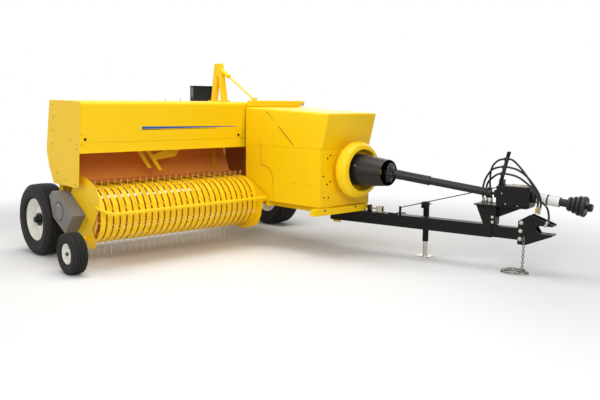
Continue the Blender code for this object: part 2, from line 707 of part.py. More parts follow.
def make_upper_hood():
    """The folded cover over the plunger, parted along a sloping seam behind its lid."""
    seam = HOOD_SEAM + SEAM_GAP / 2
    corners = {
        # (front, left, top): place
        (-1, -1, -1): (HOOD_REAR, HOOD_RIGHT_REAR, seam),
        (1, -1, -1): (HOOD_FRONT, HOOD_RIGHT_FRONT, seam),
        (1, 1, -1): (HOOD_FRONT, HOOD_LEFT, seam),
        (-1, 1, -1): (HOOD_REAR, HOOD_LEFT, seam),
        (-1, -1, 1): (HOOD_REAR, HOOD_RIGHT_REAR, HOOD_TOP_REAR),
        (1, -1, 1): (HOOD_FRONT + HOOD_LEAN, HOOD_RIGHT_FRONT, HOOD_TOP_FRONT),
        (1, 1, 1): (HOOD_FRONT + HOOD_LEAN, HOOD_LEFT, HOOD_TOP_FRONT),
        (-1, 1, 1): (HOOD_REAR, HOOD_LEFT, HOOD_TOP_REAR),
    }
    mesh = bpy.data.meshes.new("hood")
    form = bmesh.new()
    bmesh.ops.create_cube(form, size=2.0)
    for vert in form.verts:
        vert.co = corners[(round(vert.co.x), round(vert.co.y), round(vert.co.z))]
    gone = [face for face in form.faces if all(vert.co.z < seam + 0.001 for vert in face.verts)]
    gone += [face for face in form.faces if all(vert.co.x < HOOD_REAR + 0.001 for vert in face.verts)]
    bmesh.ops.delete(form, geom=gone, context="FACES")
    folds = [edge for edge in form.edges if len(edge.link_faces) == 2]
    bmesh.ops.bevel(form, geom=folds, offset=0.022, segments=3, affect="EDGES", profile=0.5)
    form.to_mesh(mesh)
    form.free()
    hood = add_object("hood_rear", mesh, "yellow_paint")
    hood = thickened(hood, SHEET)
    hinge_z = hood_top(LID_HINGE_X) + 0.001
    slope = atan2(HOOD_SEAM - hinge_z, LID_SPLIT_X - LID_HINGE_X)
    lid = add_object("hood_lid", hood.data.copy(), "yellow_paint")
    along = Vector((cos(slope), 0.0, sin(slope)))
    ahead = Vector((-sin(slope), 0.0, cos(slope)))
    hinge = Vector((LID_HINGE_X, 0.0, hinge_z))

    def half_space(offset, way):
        """A large slab on one side of the seam."""
        start = hinge + ahead * offset - along * 1.5
        end = hinge + ahead * offset + along * 1.5
        far = ahead * way * 2.0
        outline = [(point.x, point.z) for point in (start, end, end + far, start + far)]
        return side_plate("half_space", [outline], 0.0, 2.0, "yellow_paint")

    rear = cut(hood, half_space(-SEAM_GAP / 2, 1.0))
    lid = cut(lid, half_space(SEAM_GAP / 2, -1.0))
    axis = pivot("hood_lid_hinge", (LID_HINGE_X, CHAMBER_Y, hinge_z))
    carry(axis, [smooth(lid, 50.0)])
    chamber_left = CHAMBER_Y + BALE_WIDTH / 2 + CHAMBER_WALL
    over_chamber = CHAMBER_FLOOR_Z + BALE_HEIGHT + CHAMBER_WALL + SEAT_GAP
    closing = [(FEEDER_LEFT + 0.004, over_chamber), (chamber_left + 0.004, over_chamber),
               (chamber_left + 0.004, HOOD_SEAM + 0.012), (HOOD_LEFT - 0.001, HOOD_SEAM + 0.012),
               (HOOD_LEFT - 0.001, HOOD_TOP_REAR - 0.012), (HOOD_LEFT - 0.012, HOOD_TOP_REAR - 0.001),
               (FEEDER_LEFT + 0.004, HOOD_TOP_REAR - 0.001)]
    plate = flat("closing", [closing], SHEET, "yellow_paint", (HOOD_REAR + SHEET, 0, 0), (0, 1, 0), (0, 0, 1))
    smooth(fused(rear, [plate]), 50.0)


def make_lower_hood():
    """A fixed strip each side, the front wall and two doors hung at its front edges."""
    low = HOOD_BOTTOM
    high = HOOD_SEAM - SEAM_GAP / 2
    door_front = HOOD_FRONT - SHEET - PIN_GAP
    slope = atan2(HOOD_RIGHT_FRONT - HOOD_RIGHT_REAR, HOOD_FRONT - HOOD_REAR)
    bend = arc((DOOR_REAR + 0.030, DOOR_NOTCH_Z - 0.150), 0.150, 14, 80, 5)
    notch = [(DOOR_NOTCH_X, low), (DOOR_NOTCH_X, DOOR_NOTCH_Z - 0.130)] + bend + [(DOOR_REAR, DOOR_NOTCH_Z)]
    right_fixed = [(HOOD_REAR, low)] + [(x - RUN_GAP, z - RUN_GAP * (z > low)) for x, z in notch]
    right_fixed += [(DOOR_REAR - RUN_GAP, high), (HOOD_REAR, high)]
    right_door = notch + [(DOOR_REAR, high), (door_front, high), (door_front, low)]
    left_fixed = [(HOOD_REAR, low), (DOOR_REAR - RUN_GAP, low), (DOOR_REAR - RUN_GAP, high),
                  (HOOD_REAR, high)]
    left_door = [(DOOR_REAR, low), (DOOR_REAR, high), (door_front, high), (door_front, low)]
    sides = (
        # name, fixed outline, door outline, start y, slope, outward
        ("right", right_fixed, right_door, HOOD_RIGHT_REAR, slope, -1.0),
        ("left", left_fixed, left_door, HOOD_LEFT, 0.0, 1.0),
    )
    for name, fixed, door, start_y, tilt, outward in sides:
        origin = (HOOD_REAR, start_y - outward * SHEET / 2, 0.0)
        u_axis = (cos(tilt), sin(tilt), 0.0)
        local_fixed = [((x - HOOD_REAR) / cos(tilt), z) for x, z in fixed]
        local_door = [((x - HOOD_REAR) / cos(tilt), z) for x, z in door]
        flat(name + "_side_panel", [local_fixed], SHEET, "yellow_paint", origin, u_axis, (0, 0, 1))
        leaf = flat(name + "_door", [local_door], SHEET, "yellow_paint", origin, u_axis, (0, 0, 1))
        hinge_y = start_y + (door_front - HOOD_REAR) * tan(tilt)
        axis = pivot(name + "_door_hinge", (door_front, hinge_y, (low + high) / 2))
        carry(axis, [leaf])
    wall_outline = [(HOOD_RIGHT_FRONT, low), (HOOD_LEFT, low), (HOOD_LEFT, high), (HOOD_RIGHT_FRONT, high)]
    hole = round_hole((CHAMBER_Y, SHAFT_Z), SHAFT_R + 0.030)
    flat("hood_front_wall", [wall_outline, hole], SHEET, "yellow_paint", (HOOD_FRONT - SHEET / 2, 0, 0),
         (0, 1, 0), (0, 0, 1))


def make_flywheel():
    """The heavy rounded rim on its web, the shaft, the yoke and the black cone in front."""
    width = FLYWHEEL_WIDTH
    web = FLYWHEEL_WEB
    end = YOKE_END_X - FLYWHEEL_REAR
    tail = GEARBOX_X[1] + PIN_GAP - FLYWHEEL_REAR
    rounded = [(FLYWHEEL_OPENING_R + 0.006, width), (FLYWHEEL_R - 0.034, width - 0.010),
               (FLYWHEEL_R - 0.010, width - 0.044), (FLYWHEEL_R, width / 2), (FLYWHEEL_R - 0.008, 0.044),
               (FLYWHEEL_R - 0.032, 0.018), (FLYWHEEL_OPENING_R - 0.006, 0.0)]
    profile = [(0, end), (SHAFT_R, end), (SHAFT_R, end - 0.080), (0.046, end - 0.090), (0.046, end - 0.140),
               (0.026, end - 0.150), (0.026, web + 0.040), (0.060, web + 0.035), (0.060, web),
               (FLYWHEEL_OPENING_R - 0.006, web), (FLYWHEEL_OPENING_R, web + 0.006),
               (FLYWHEEL_OPENING_R, width - 0.006)]
    profile += rounded
    profile += [(0.080, 0.0), (0.060, -0.020), (SHAFT_R, -0.020), (SHAFT_R, tail), (0.0, tail)]
    wheel = turned("flywheel", profile, (FLYWHEEL_REAR, CHAMBER_Y, SHAFT_Z), (1, 0, 0), 40, "yellow_paint")
    start = FLYWHEEL_REAR + web + SEAT_GAP
    length = CONE_END_X - start
    mouth = FLYWHEEL_REAR + width - start
    outside = [(CONE_SMALL_R - CONE_WALL, length), (CONE_SMALL_R, length),
               (CONE_SMALL_R + 0.004, length - 0.040), (CONE_BIG_R, mouth), (CONE_BIG_R, 0.0)]
    inside = [(CONE_BIG_R - CONE_WALL, 0.0), (CONE_BIG_R - CONE_WALL, mouth),
              (CONE_SMALL_R - 0.001, length - 0.040)]
    cone = turned("drive_cone", outside + inside, (start, CHAMBER_Y, SHAFT_Z), (1, 0, 0), 32, "black_plastic",
                  True)
    axis = pivot("flywheel_axis", (FLYWHEEL_REAR, CHAMBER_Y, SHAFT_Z))
    carry(axis, [smooth(baked(wheel)), smooth(cone)])


def make_gearbox():
    """The gear case, closed in by the hood, on a seat across the rails."""
    top = RAIL_BOTTOM + RAIL_HEIGHT
    right_rail, left_rail = rail_ys()
    case = block("gearbox", (GEARBOX_X[0], CHAMBER_Y - GEARBOX_HALF, GEARBOX_Z[0]),
                 (GEARBOX_X[1], CHAMBER_Y + GEARBOX_HALF, GEARBOX_Z[1]), "cast_iron", 0.02)
    seat = block("seat", (1.200, right_rail - 0.020, top + SEAT_GAP), (1.500, left_rail + 0.020, top + 0.030),
                 "cast_iron")
    legs = block("legs", (1.240, CHAMBER_Y - 0.100, top + 0.010),
                 (1.460, CHAMBER_Y + 0.100, GEARBOX_Z[0] + 0.050), "cast_iron")
    return fused(baked(case), [seat, legs])


def make_mast():
    """The A-shaped mast on the feeder's top and its sprung stay to the top beam."""
    y_low, y_high = MAST_Y
    y_mid = (y_low + y_high) / 2
    foot_low = feeder_top_rear() + SEAT_GAP
    foot_top = foot_low + 0.010
    legs = [(0.105, foot_low + 0.005), (0.165, foot_low + 0.005), (0.215, MAST_TOP - 0.130),
            (0.235, MAST_TOP - 0.130), (0.285, foot_low + 0.005), (0.345, foot_low + 0.005),
            (0.275, MAST_TOP - 0.030), (0.262, MAST_TOP), (0.180, MAST_TOP), (0.166, MAST_TOP - 0.030)]
    mast = side_plate("stay_mast", [legs], y_low, y_high, "yellow_paint")
    foot = block("foot", (0.240, y_low - 0.020, foot_low), (0.360, y_high + 0.020, foot_top), "yellow_paint")
    rear_foot = block("rear_foot", (0.080, y_low - 0.020, foot_low), (0.260, y_high + 0.020, foot_top),
                      "yellow_paint")
    high = (0.240, y_mid, MAST_TOP - 0.054)
    can_end = (0.400, y_mid, MAST_TOP - 0.145)
    low = (0.820, y_mid, 1.508)
    stay = rod("stay", high, low, 0.010, "yellow_paint", 12)
    can = rod("can", high, can_end, 0.024, "yellow_paint", 16)
    shoe = block("shoe", (0.806, y_mid - 0.018, 1.4953), (0.856, y_mid + 0.018, 1.520), "yellow_paint")
    return fused(mast, [foot, rear_foot, stay, can, shoe])


def make_top_beam():
    """The channel across the rear edge of the hood's top, with its knob."""
    beam = block("top_beam", (0.842, 0.665, HOOD_TOP_REAR + SEAT_GAP), (0.900, 1.360, 1.495), "yellow_paint",
                 0.006)
    knob = rod("knob", (0.868, 1.350, 1.470), (0.868, 1.420, 1.470), 0.028, "yellow_paint", 20)
    return fused(baked(beam), [knob])


def band_path():
    """A guard band's side view: over the top, round the front, back below."""
    path = [(LIFT_X + 0.008, LIFT_Z + 0.014), (0.520, 0.668), (0.640, 0.701)]
    path += arc((BAND_X, BAND_Z), BAND_R, 95, -100, 11)
    path += [(0.640, 0.224), (LIFT_X + 0.012, 0.258)]
    return path


def make_pickup():
    """Guard bands on two cross beams, flared ends, guard bar, drive shield, gauge wheel and tined reel."""
    right_y, left_y = FLARE_YS
    inner_right = right_y + SHEET / 2 + SEAT_GAP
    inner_left = left_y - SHEET / 2 - SEAT_GAP
    lift = pivot("pickup_lift_axis", (LIFT_X, (right_y + left_y) / 2, LIFT_Z))
    top_beam = baked(rod("pickup_guards", (LIFT_X, inner_right, LIFT_Z), (LIFT_X, inner_left, LIFT_Z),
                         LIFT_TUBE_R, "yellow_paint", 16))
    low_beam = block("low_beam", (LIFT_X - 0.010, inner_right, LOW_BEAM_Z[0]),
                     (LIFT_X + 0.035, inner_left, LOW_BEAM_Z[1]), "yellow_paint")
    stiffeners = [block("stiffener", (LIFT_X - 0.012, y, LOW_BEAM_Z[1] - 0.020),
                        (LIFT_X - 0.004, y + STIFFENER_WIDTH, LIFT_Z), "yellow_paint") for y in STIFFENER_YS]
    bands = []
    for i in range(BAND_COUNT):
        y = FIRST_BAND_Y + i * BAND_PITCH
        bands.append(sheet("band", band_path(), y - BAND_WIDTH / 2, y + BAND_WIDTH / 2, BAND_THICK,
                           "yellow_paint"))
    guards = smooth(fused(top_beam, [low_beam] + stiffeners + bands), 30.0)
    right_top = [(0.500, 0.650), (0.560, 0.735), (0.645, 0.812), (0.764, 0.807), (0.904, 0.769),
                 (0.985, 0.712), (1.023, 0.656), (1.030, 0.590)]
    left_top = [(0.500, 0.672), (0.640, 0.712), (0.790, 0.724), (0.900, 0.702), (0.985, 0.655),
                (1.115, 0.572), (GUARD_BAR_X + 0.022, GUARD_BAR_Z + 0.036),
                (GUARD_BAR_X + 0.026, GUARD_BAR_Z - 0.006)]
    right_low = [(1.001, 0.512), (0.940, 0.424), (0.880, 0.348), (0.957, 0.235), (0.926, 0.182),
                 (0.767, 0.158)]
    left_low = [(1.123, 0.470), (1.098, 0.340), (1.052, 0.237), (0.926, 0.190), (0.767, 0.158)]
    rear = [(0.430, 0.215), (0.395, 0.240), (0.385, 0.560), (0.395, 0.640)]
    hole = round_hole((REEL_X, REEL_Z), REEL_SHAFT_R + PIN_GAP * 1.4)
    ends = []
    for name, y, front in (("right", right_y, right_top + right_low), ("left", left_y, left_top + left_low)):
        ends.append(side_plate(name + "_flare", [front + rear, hole], y - SHEET / 2, y + SHEET / 2,
                               "yellow_paint"))
    bar_points = [(1.000, right_y - 0.015, 0.556), (1.075, right_y - 0.012, 0.548),
                  (1.125, right_y + 0.010, 0.530), (GUARD_BAR_X, right_y + 0.060, GUARD_BAR_Z),
                  (GUARD_BAR_X, left_y - 0.060, GUARD_BAR_Z + 0.012),
                  (GUARD_BAR_X, left_y + 0.012, GUARD_BAR_Z + 0.012)]
    bar = pipe("pickup_ends", bar_points, GUARD_BAR_R, "yellow_paint")
    rod_arc = arc((BAND_X, BAND_Z), BAND_R + GUARD_ROD_LIFT, 26, 84, 5)
    for i in range(1, BAND_COUNT - 1, 2):
        y = FIRST_BAND_Y + i * BAND_PITCH
        route = [(GUARD_BAR_X - 0.006, y, GUARD_BAR_Z + 0.004)] + [(x, y, z) for x, z in rod_arc]
        route.append((BAND_X - 0.150, y, BAND_Z + BAND_R + GUARD_ROD_LIFT))
        ends.append(pipe("guard_rod", route, GUARD_ROD_R, "yellow_paint", 1))
    pickup_ends = fused(bar, ends)
    shield_outline = [(0.365, 0.654), (0.482, 0.651), (0.778, 0.469), (0.606, 0.291), (0.376, 0.414),
                      (0.306, 0.602)]
    shield = side_plate("drive_shield", [shield_outline], DRIVE_SHIELD_Y, right_y - SHEET / 2 - SEAT_GAP,
                        "grey_paint")
    carry(lift, [guards, pickup_ends, shield])
    make_reel(lift)
    make_gauge_wheel(lift)


def make_reel(lift):
    """A shaft with end discs and bars that carry a tine in each gap between bands."""
    right_y, left_y = FLARE_YS
    low = right_y + SHEET / 2 + RUN_GAP
    high = left_y - SHEET / 2 - RUN_GAP
    reel = rod("tine_reel", (REEL_X, right_y - SHEET / 2, REEL_Z), (REEL_X, left_y + SHEET / 2, REEL_Z),
               REEL_SHAFT_R, "yellow_paint", 12)
    joins = []
    for y in (low, high - REEL_DISC_THICK):
        joins.append(rod("disc", (REEL_X, y, REEL_Z), (REEL_X, y + REEL_DISC_THICK, REEL_Z),
                         TINE_ROOT_R + 0.020, "yellow_paint"))
    for bar in range(TINE_BARS):
        angle = pi / 2 - TINE_LEAN + 2 * pi * bar / TINE_BARS
        way = Vector((cos(angle), 0.0, sin(angle)))
        root = Vector((REEL_X, 0.0, REEL_Z)) + way * TINE_ROOT_R
        tip = Vector((REEL_X, 0.0, REEL_Z)) + way * TINE_TIP_R
        joins.append(rod("bar", root + Vector((0, low + 0.004, 0)), root + Vector((0, high - 0.004, 0)),
                         REEL_BAR_R, "yellow_paint", 8))
        for row in range(BAND_COUNT - 1):
            across = Vector((0.0, FIRST_BAND_Y + (row + 0.5) * BAND_PITCH, 0.0))
            joins.append(rod("tine", root + across, tip + across, TINE_R, "yellow_paint", 4))
    reel = fused(baked(reel), joins)
    axis = pivot("reel_axis", (REEL_X, (low + high) / 2, REEL_Z), lift)
    carry(axis, [reel])


def make_gauge_wheel(lift):
    """A small wheel on an arm outside the pickup's right end."""
    inner = GAUGE_Y + GAUGE_WIDTH / 2 + 0.018
    arm_x, arm_z = GAUGE_ARM_PIVOT
    outline = [(0.720, 0.285), (GAUGE_X - 0.110, 0.285), (GAUGE_X - 0.040, GAUGE_R + 0.068),
               (GAUGE_X + 0.026, GAUGE_R + 0.012), (GAUGE_X + 0.018, GAUGE_R - 0.024),
               (GAUGE_X - 0.026, GAUGE_R - 0.026), (GAUGE_X - 0.110, 0.215), (0.720, 0.222)]
    arm = side_plate("gauge_arm", [outline], inner, inner + GAUGE_ARM_THICK, "yellow_paint")
    tube = rod("tube", (arm_x, inner + 0.004, arm_z), (arm_x, FLARE_YS[0] - SHEET / 2 - SEAT_GAP, arm_z),
               0.026, "yellow_paint")
    spindle = rod("spindle", (GAUGE_X, inner + 0.006, GAUGE_R),
                  (GAUGE_X, GAUGE_Y - GAUGE_WIDTH * 0.35, GAUGE_R), GAUGE_SPINDLE_R, "yellow_paint")
    arm = fused(arm, [tube, spindle])
    carry(lift, [arm])
    at = (GAUGE_X, GAUGE_Y, GAUGE_R)
    wheel = make_tyre_and_rim("gauge_wheel", at, GAUGE_R, GAUGE_WIDTH, GAUGE_RIM_R, GAUGE_SPINDLE_R + PIN_GAP,
                              -1.0, 24)
    axis = pivot("gauge_wheel_axis", at, lift)
    carry(axis, wheel)


def tongue_point(x, y):
    """A world place in the tongue's own frame."""
    dx = x - TONGUE_PIVOT_X
    dy = y - TONGUE_PIVOT_Y
    return (dx * cos(TONGUE_ANGLE) + dy * sin(TONGUE_ANGLE), -dx * sin(TONGUE_ANGLE) + dy * cos(TONGUE_ANGLE))


def make_tongue():
    """The beam with its hitch, drive stand, bearing box, hoses, jack, chain and drive shafts."""
    axis = pivot("tongue_pivot", (TONGUE_PIVOT_X, TONGUE_PIVOT_Y, 0.0), None, TONGUE_ANGLE)
    half = TONGUE_WIDTH / 2
    height = TONGUE_TOP - TONGUE_BOTTOM
    outline = [(-half, -half), (TONGUE_STEP_U, -half), (TONGUE_STEP_U, half), (-half, half)]
    bore = round_hole((0, 0), PIVOT_PIN_R + PIN_GAP)
    beam = flat("tongue_beam", [outline, bore], height, "black_paint", (0, 0, TONGUE_BOTTOM + height / 2))
    nose = block("nose", (TONGUE_STEP_U - 0.050, -half + 0.008, TONGUE_BOTTOM + 0.006),
                 (TONGUE_END_U, half - 0.008, TONGUE_TOP - 0.006), "black_paint")
    pieces = [fused(beam, [nose]), make_hitch(half - 0.008), make_stand(half), make_bearing_box(),
              make_hoses(), make_jack(half), make_chain()]
    ride(axis, pieces)
    make_jack_leg(axis)
    make_driveline(axis)
    make_front_shaft(axis)


def make_hitch(half):
    """Two side plates joined by an upper and a lower jaw for the drawbar."""
    upper = [(HITCH_START, 0.300), (HITCH_START, 0.475), (HITCH_PEAK, 0.538), (HITCH_TIP, 0.466),
             (HITCH_TIP, 0.450), (HITCH_PEAK + 0.080, 0.450), (HITCH_PEAK + 0.050, 0.425),
             (HITCH_PEAK + 0.080, 0.381), (HITCH_TIP, 0.381), (HITCH_TIP, 0.367),
             (HITCH_START + 0.070, 0.268), (HITCH_START, 0.268)]
    plates = []
    inner = half + SEAT_GAP
    for side in (-1.0, 1.0):
        low, high = sorted((side * inner, side * (inner + HITCH_PLATE)))
        plates.append(side_plate("side", [upper], low, high, "black_paint"))
    wide = inner + HITCH_PLATE - 0.001
    plan = [(TONGUE_END_U + 0.025, -wide), (HITCH_TIP - 0.001, -wide), (HITCH_TIP - 0.001, wide),
            (TONGUE_END_U + 0.025, wide)]
    hole = round_hole((HITCH_TIP - 0.050, 0), JAW_PIN_R, 12)
    for z in JAW_Z:
        plates.append(flat("jaw", [plan, hole], 0.012, "black_paint", (0, 0, z)))
    base = plates.pop(0)
    base.name = "hitch_jaws"
    return fused(base, plates)


def make_stand(half):
    """The stand on the beam that flares up to the bearing box."""
    low = TONGUE_TOP + SEAT_GAP
    top = BOX_Z[0] - 0.0005
    outline = [(STAND_LOW_U[0], low), (STAND_LOW_U[1], low), (STAND_TOP_U[1], top), (STAND_TOP_U[0], top)]
    stand = side_plate("drive_stand", [outline], -half, half, "black_paint")
    shelf = block("shelf", (STAND_TOP_U[0], -BOX_WIDTH / 2, top - 0.012),
                  (BOX_U[1] - 0.02, BOX_WIDTH / 2 + 0.022, top - 0.0002), "black_paint")
    gusset = side_plate("gusset", [[(STAND_LOW_U[1] - 0.010, low + 0.060), (BOX_U[1] - 0.060, top - 0.006),
                                    (STAND_LOW_U[1] - 0.010, top - 0.006)]], -0.006, 0.006, "black_paint")
    return fused(stand, [shelf, gusset])


def make_bearing_box():
    """The front drive's bearing box with the flat bar that holds the hoses up."""
    box = block("bearing_box", (BOX_U[0], -BOX_WIDTH / 2, BOX_Z[0]), (BOX_U[1], BOX_WIDTH / 2, BOX_Z[1]),
                "black_paint", 0.008)
    bar = side_plate("bar", [mast_outline(BOX_Z[1] - 0.010, HOSE_MAST_TOP, 0.016)], -HOSE_MAST_THICK / 2,
                     HOSE_MAST_THICK / 2, "black_paint")
    socket = block("socket", (HOSE_MAST_U[0] - 0.002, -0.028, BOX_Z[1] - 0.010),
                   (HOSE_MAST_U[0] + 0.038, 0.028, BOX_Z[1] + 0.050), "black_paint")
    rear = DRIVE_FRONT_U - 0.014
    forks = [block("fork", (rear, -0.014, DRIVE_FRONT_Z + way * 0.028 - 0.0054), (BOX_U[0] + 0.010, 0.014,
             DRIVE_FRONT_Z + way * 0.028 + 0.0054), "black_paint") for way in (-1, 1)]
    return fused(baked(box), [bar, socket] + forks)


def mast_outline(low, high, half):
    """A length of the hose mast's side view, which leans forward."""
    share = (HOSE_MAST_U[1] - HOSE_MAST_U[0]) / (HOSE_MAST_TOP - BOX_Z[1])
    low_u, high_u = [HOSE_MAST_U[0] + share * (z - BOX_Z[1]) for z in (low, high)]
    return [(low_u - half, low), (low_u + half, low), (high_u + half, high), (high_u - half, high)]


def make_hoses():
    """Three hydraulic hoses that arch over the bearing box through a clamp on the mast."""
    shelf = BOX_Z[0] - 0.0007 + SEAT_GAP
    clamp = side_plate("hoses", [mast_outline(0.860, 1.024, 0.013)], -0.034, -HOSE_MAST_THICK / 2 - SEAT_GAP,
                       "black_plastic")
    routes = ([(1.600, 0.080, shelf), (1.600, 0.080, 0.640), (1.590, 0.080, 0.710), (1.578, 0.080, 0.784),
               (1.595, 0.062, 0.910), (1.655, 0.024, 0.978), (1.722, -0.020, 1.004), (1.775, -0.024, 1.008),
               (1.829, -0.032, 0.995), (1.928, -0.054, 0.906), (2.033, -0.085, 0.778), (2.092, -0.095, 0.681),
               (2.155, -0.095, 0.618), (2.173, -0.085, 0.532), (2.158, -0.078, 0.490)],
              [(1.520, 0.090, shelf), (1.520, 0.090, 0.625), (1.508, 0.090, 0.690), (1.528, 0.085, 0.798),
               (1.600, 0.044, 0.894), (1.664, 0.008, 0.924), (1.712, -0.020, 0.935), (1.765, -0.024, 0.938),
               (1.871, -0.042, 0.919), (1.972, -0.070, 0.859), (2.070, -0.090, 0.747), (2.103, -0.100, 0.665),
               (2.098, -0.100, 0.604)], [(1.552, 0.104, shelf), (1.552, 0.104, 0.625), (1.536, 0.102, 0.690),
                                         (1.556, 0.088, 0.778), (1.625, 0.044, 0.838), (1.668, 0.008, 0.862),
                                         (1.699, -0.020, 0.873), (1.755, -0.025, 0.878),
                                         (1.881, -0.062, 0.860), (2.001, -0.100, 0.794),
                                         (2.069, -0.120, 0.732), (2.087, -0.126, 0.665),
                                         (2.082, -0.126, 0.613)], )
    joins = []
    for route in routes:
        joins.append(pipe("hose", route[:1] + smooth_route(route[1:], 2), HOSE_R, "black_plastic", 1))
        end = Vector(route[-1])
        way = (end - Vector(route[-2])).normalized()
        joins.append(rod("coupler", end - way * 0.010, end + way * 0.050, 0.013, "black_plastic", 10))
    return fused(clamp, joins)


def smooth_route(points, parts):
    """More points along a chain, on a Catmull-Rom curve through it."""
    chain = [Vector(point) for point in points]
    padded = [chain[0]] + chain + [chain[-1]]
    route = []
    for i in range(1, len(padded) - 2):
        before, here, there, after = padded[i - 1], padded[i], padded[i + 1], padded[i + 2]
        for step in range(parts):
            t = step / parts
            square = 2 * before - 5 * here + 4 * there - after
            cube = 3 * here - before - 3 * there + after
            route.append(0.5 * (2 * here + (there - before) * t + square * t * t + cube * t ** 3))
    route.append(chain[-1])
    return route


def make_jack(half):
    """The jack's outer tube on a bracket at the beam's left side."""
    bore = JACK_LEG_R + PIN_GAP
    length = JACK_TOP - JACK_TUBE_BOTTOM
    profile = [(0.0, length), (JACK_TUBE_R - 0.004, length), (JACK_TUBE_R, length - 0.004),
               (JACK_TUBE_R, 0.0), (0.0, 0.0)]
    tube = turned("jack_tube", profile, (JACK_U, JACK_V, JACK_TUBE_BOTTOM), (0, 0, 1), 24, "black_paint")
    plate = block("plate", (JACK_U - 0.050, half + SEAT_GAP, 0.320), (JACK_U + 0.050, half + 0.012, 0.400),
                  "black_paint")
    arm = block("arm", (JACK_U - 0.022, half + 0.006, 0.335),
                (JACK_U + 0.022, JACK_V - JACK_LEG_R - 0.002, 0.385), "black_paint")
    joined = fused(baked(tube), [plate, arm])
    hole = rod("hole", (JACK_U, JACK_V, JACK_TUBE_BOTTOM - 0.050), (JACK_U, JACK_V, JACK_TOP - 0.020), bore,
               "black_paint", 24)
    return smooth(cut(joined, baked(hole)))


def make_jack_leg(axis):
    """The inner leg with its foot plate, which slides up into the tube."""
    top = JACK_TOP - 0.026 - JACK_TRAVEL
    leg = rod("jack_leg", (JACK_U, JACK_V, 0.004), (JACK_U, JACK_V, top), JACK_LEG_R, "zinc", 24)
    foot = block("foot", (JACK_U - 0.075, JACK_V - 0.060, 0.0), (JACK_U + 0.075, JACK_V + 0.060, 0.008),
                 "zinc")
    ride(axis, [smooth(fused(baked(leg), [foot]))])


def make_chain():
    """The safety chain that hangs from the hitch and lies in a loop on the ground."""
    points = [(1.960, -0.0651, 0.330), (1.962, -0.0680, 0.220), (1.960, -0.078, 0.060),
              (1.935, -0.080, 0.020), (1.860, -0.060, 0.014), (1.800, -0.010, 0.014), (1.850, 0.050, 0.014),
              (1.930, 0.040, 0.014)]
    return pipe("safety_chain", smooth_route(points, 3), 0.010, "zinc", 1)


def make_driveline(axis):
    """The guarded telescopic shaft: the outer tube swings on the box, the inner slides in it."""
    rear_u, rear_v = tongue_point(DRIVE_REAR[0], DRIVE_REAR[1])
    front = Vector((DRIVE_FRONT_U, 0.0, DRIVE_FRONT_Z))
    rear = Vector((rear_u, rear_v, DRIVE_REAR[2]))
    way = (front - rear).normalized()
    length = (front - rear).length
    bore = DRIVE_INNER_R + PIN_GAP
    mouth = DRIVE_BARE
    bottom = length - 0.045
    outer_profile = [(0.0, length), (0.015, length), (0.015, length - 0.036), (0.048, length - 0.040),
                     (0.048, length - 0.076), (DRIVE_OUTER_R, length - 0.090), (DRIVE_OUTER_R, mouth + 0.030),
                     (DRIVE_OUTER_R + 0.003, mouth + 0.028), (DRIVE_OUTER_R + 0.003, mouth), (bore, mouth),
                     (bore, bottom), (0.0, bottom)]
    inner_profile = [(0.0, mouth + 0.450), (DRIVE_INNER_R, mouth + 0.450), (DRIVE_INNER_R, 0.060),
                     (0.040, 0.050), (0.040, 0.010), (0.020, -0.030), (0.0, -0.030)]
    swing = pivot("driveline_pivot", (0, 0, 0))
    swing.parent = axis
    swing.location = front
    slider = pivot("driveline_slide", (0, 0, 0))
    slider.parent = swing
    bpy.context.view_layer.update()
    outer = turned("driveline_front", outer_profile, rear - front, way, 24, "black_plastic")
    knuckle = rod("knuckle", (0, 0, -0.0220), (0, 0, 0.0220), 0.016, "black_plastic", 12)
    inner = turned("driveline_rear", inner_profile, rear - front, way, 24, "black_plastic")
    ride(swing, [smooth(fused(baked(outer), [knuckle]))])
    ride(slider, [smooth(baked(inner))])


def make_front_shaft(axis):
    """The sleeved front shaft with its ribbed boot, and the yoke that the tractor drives."""
    slope = Vector((1.0, 0.0, -FRONT_SHAFT_FALL)).normalized()
    at = Vector((BOX_U[1] + SEAT_GAP, 0.0, FRONT_SHAFT_Z))
    bore = 0.021
    outside = [(bore, 0.455), (0.058, 0.455), (0.066, 0.445), (0.052, 0.432), (0.064, 0.418), (0.048, 0.404),
               (0.058, 0.390), (0.044, 0.376), (0.052, 0.362), (0.040, 0.348), (0.044, 0.334), (0.034, 0.320),
               (0.034, 0.240), (0.042, 0.236), (0.042, 0.040), (0.050, 0.030), (0.050, 0.006), (bore, 0.006)]
    sleeve = turned("shaft_guard", outside, at, slope, 20, "black_plastic", True)
    tail = YOKE_ROD_R * FRONT_SHAFT_FALL + PIN_GAP
    yoke_profile = [(0.0, 0.505), (0.030, 0.505), (0.034, 0.490), (0.034, 0.470), (YOKE_ROD_R, 0.464),
                    (YOKE_ROD_R, tail), (0.0, tail)]
    turning = pivot("front_shaft_axis", (0, 0, 0))
    turning.parent = axis
    turning.location = at
    bpy.context.view_layer.update()
    yoke = turned("drive_yoke", yoke_profile, (0, 0, 0), slope, 20, "black_paint")
    ride(axis, [smooth(sleeve)])
    ride(turning, [smooth(baked(yoke))])


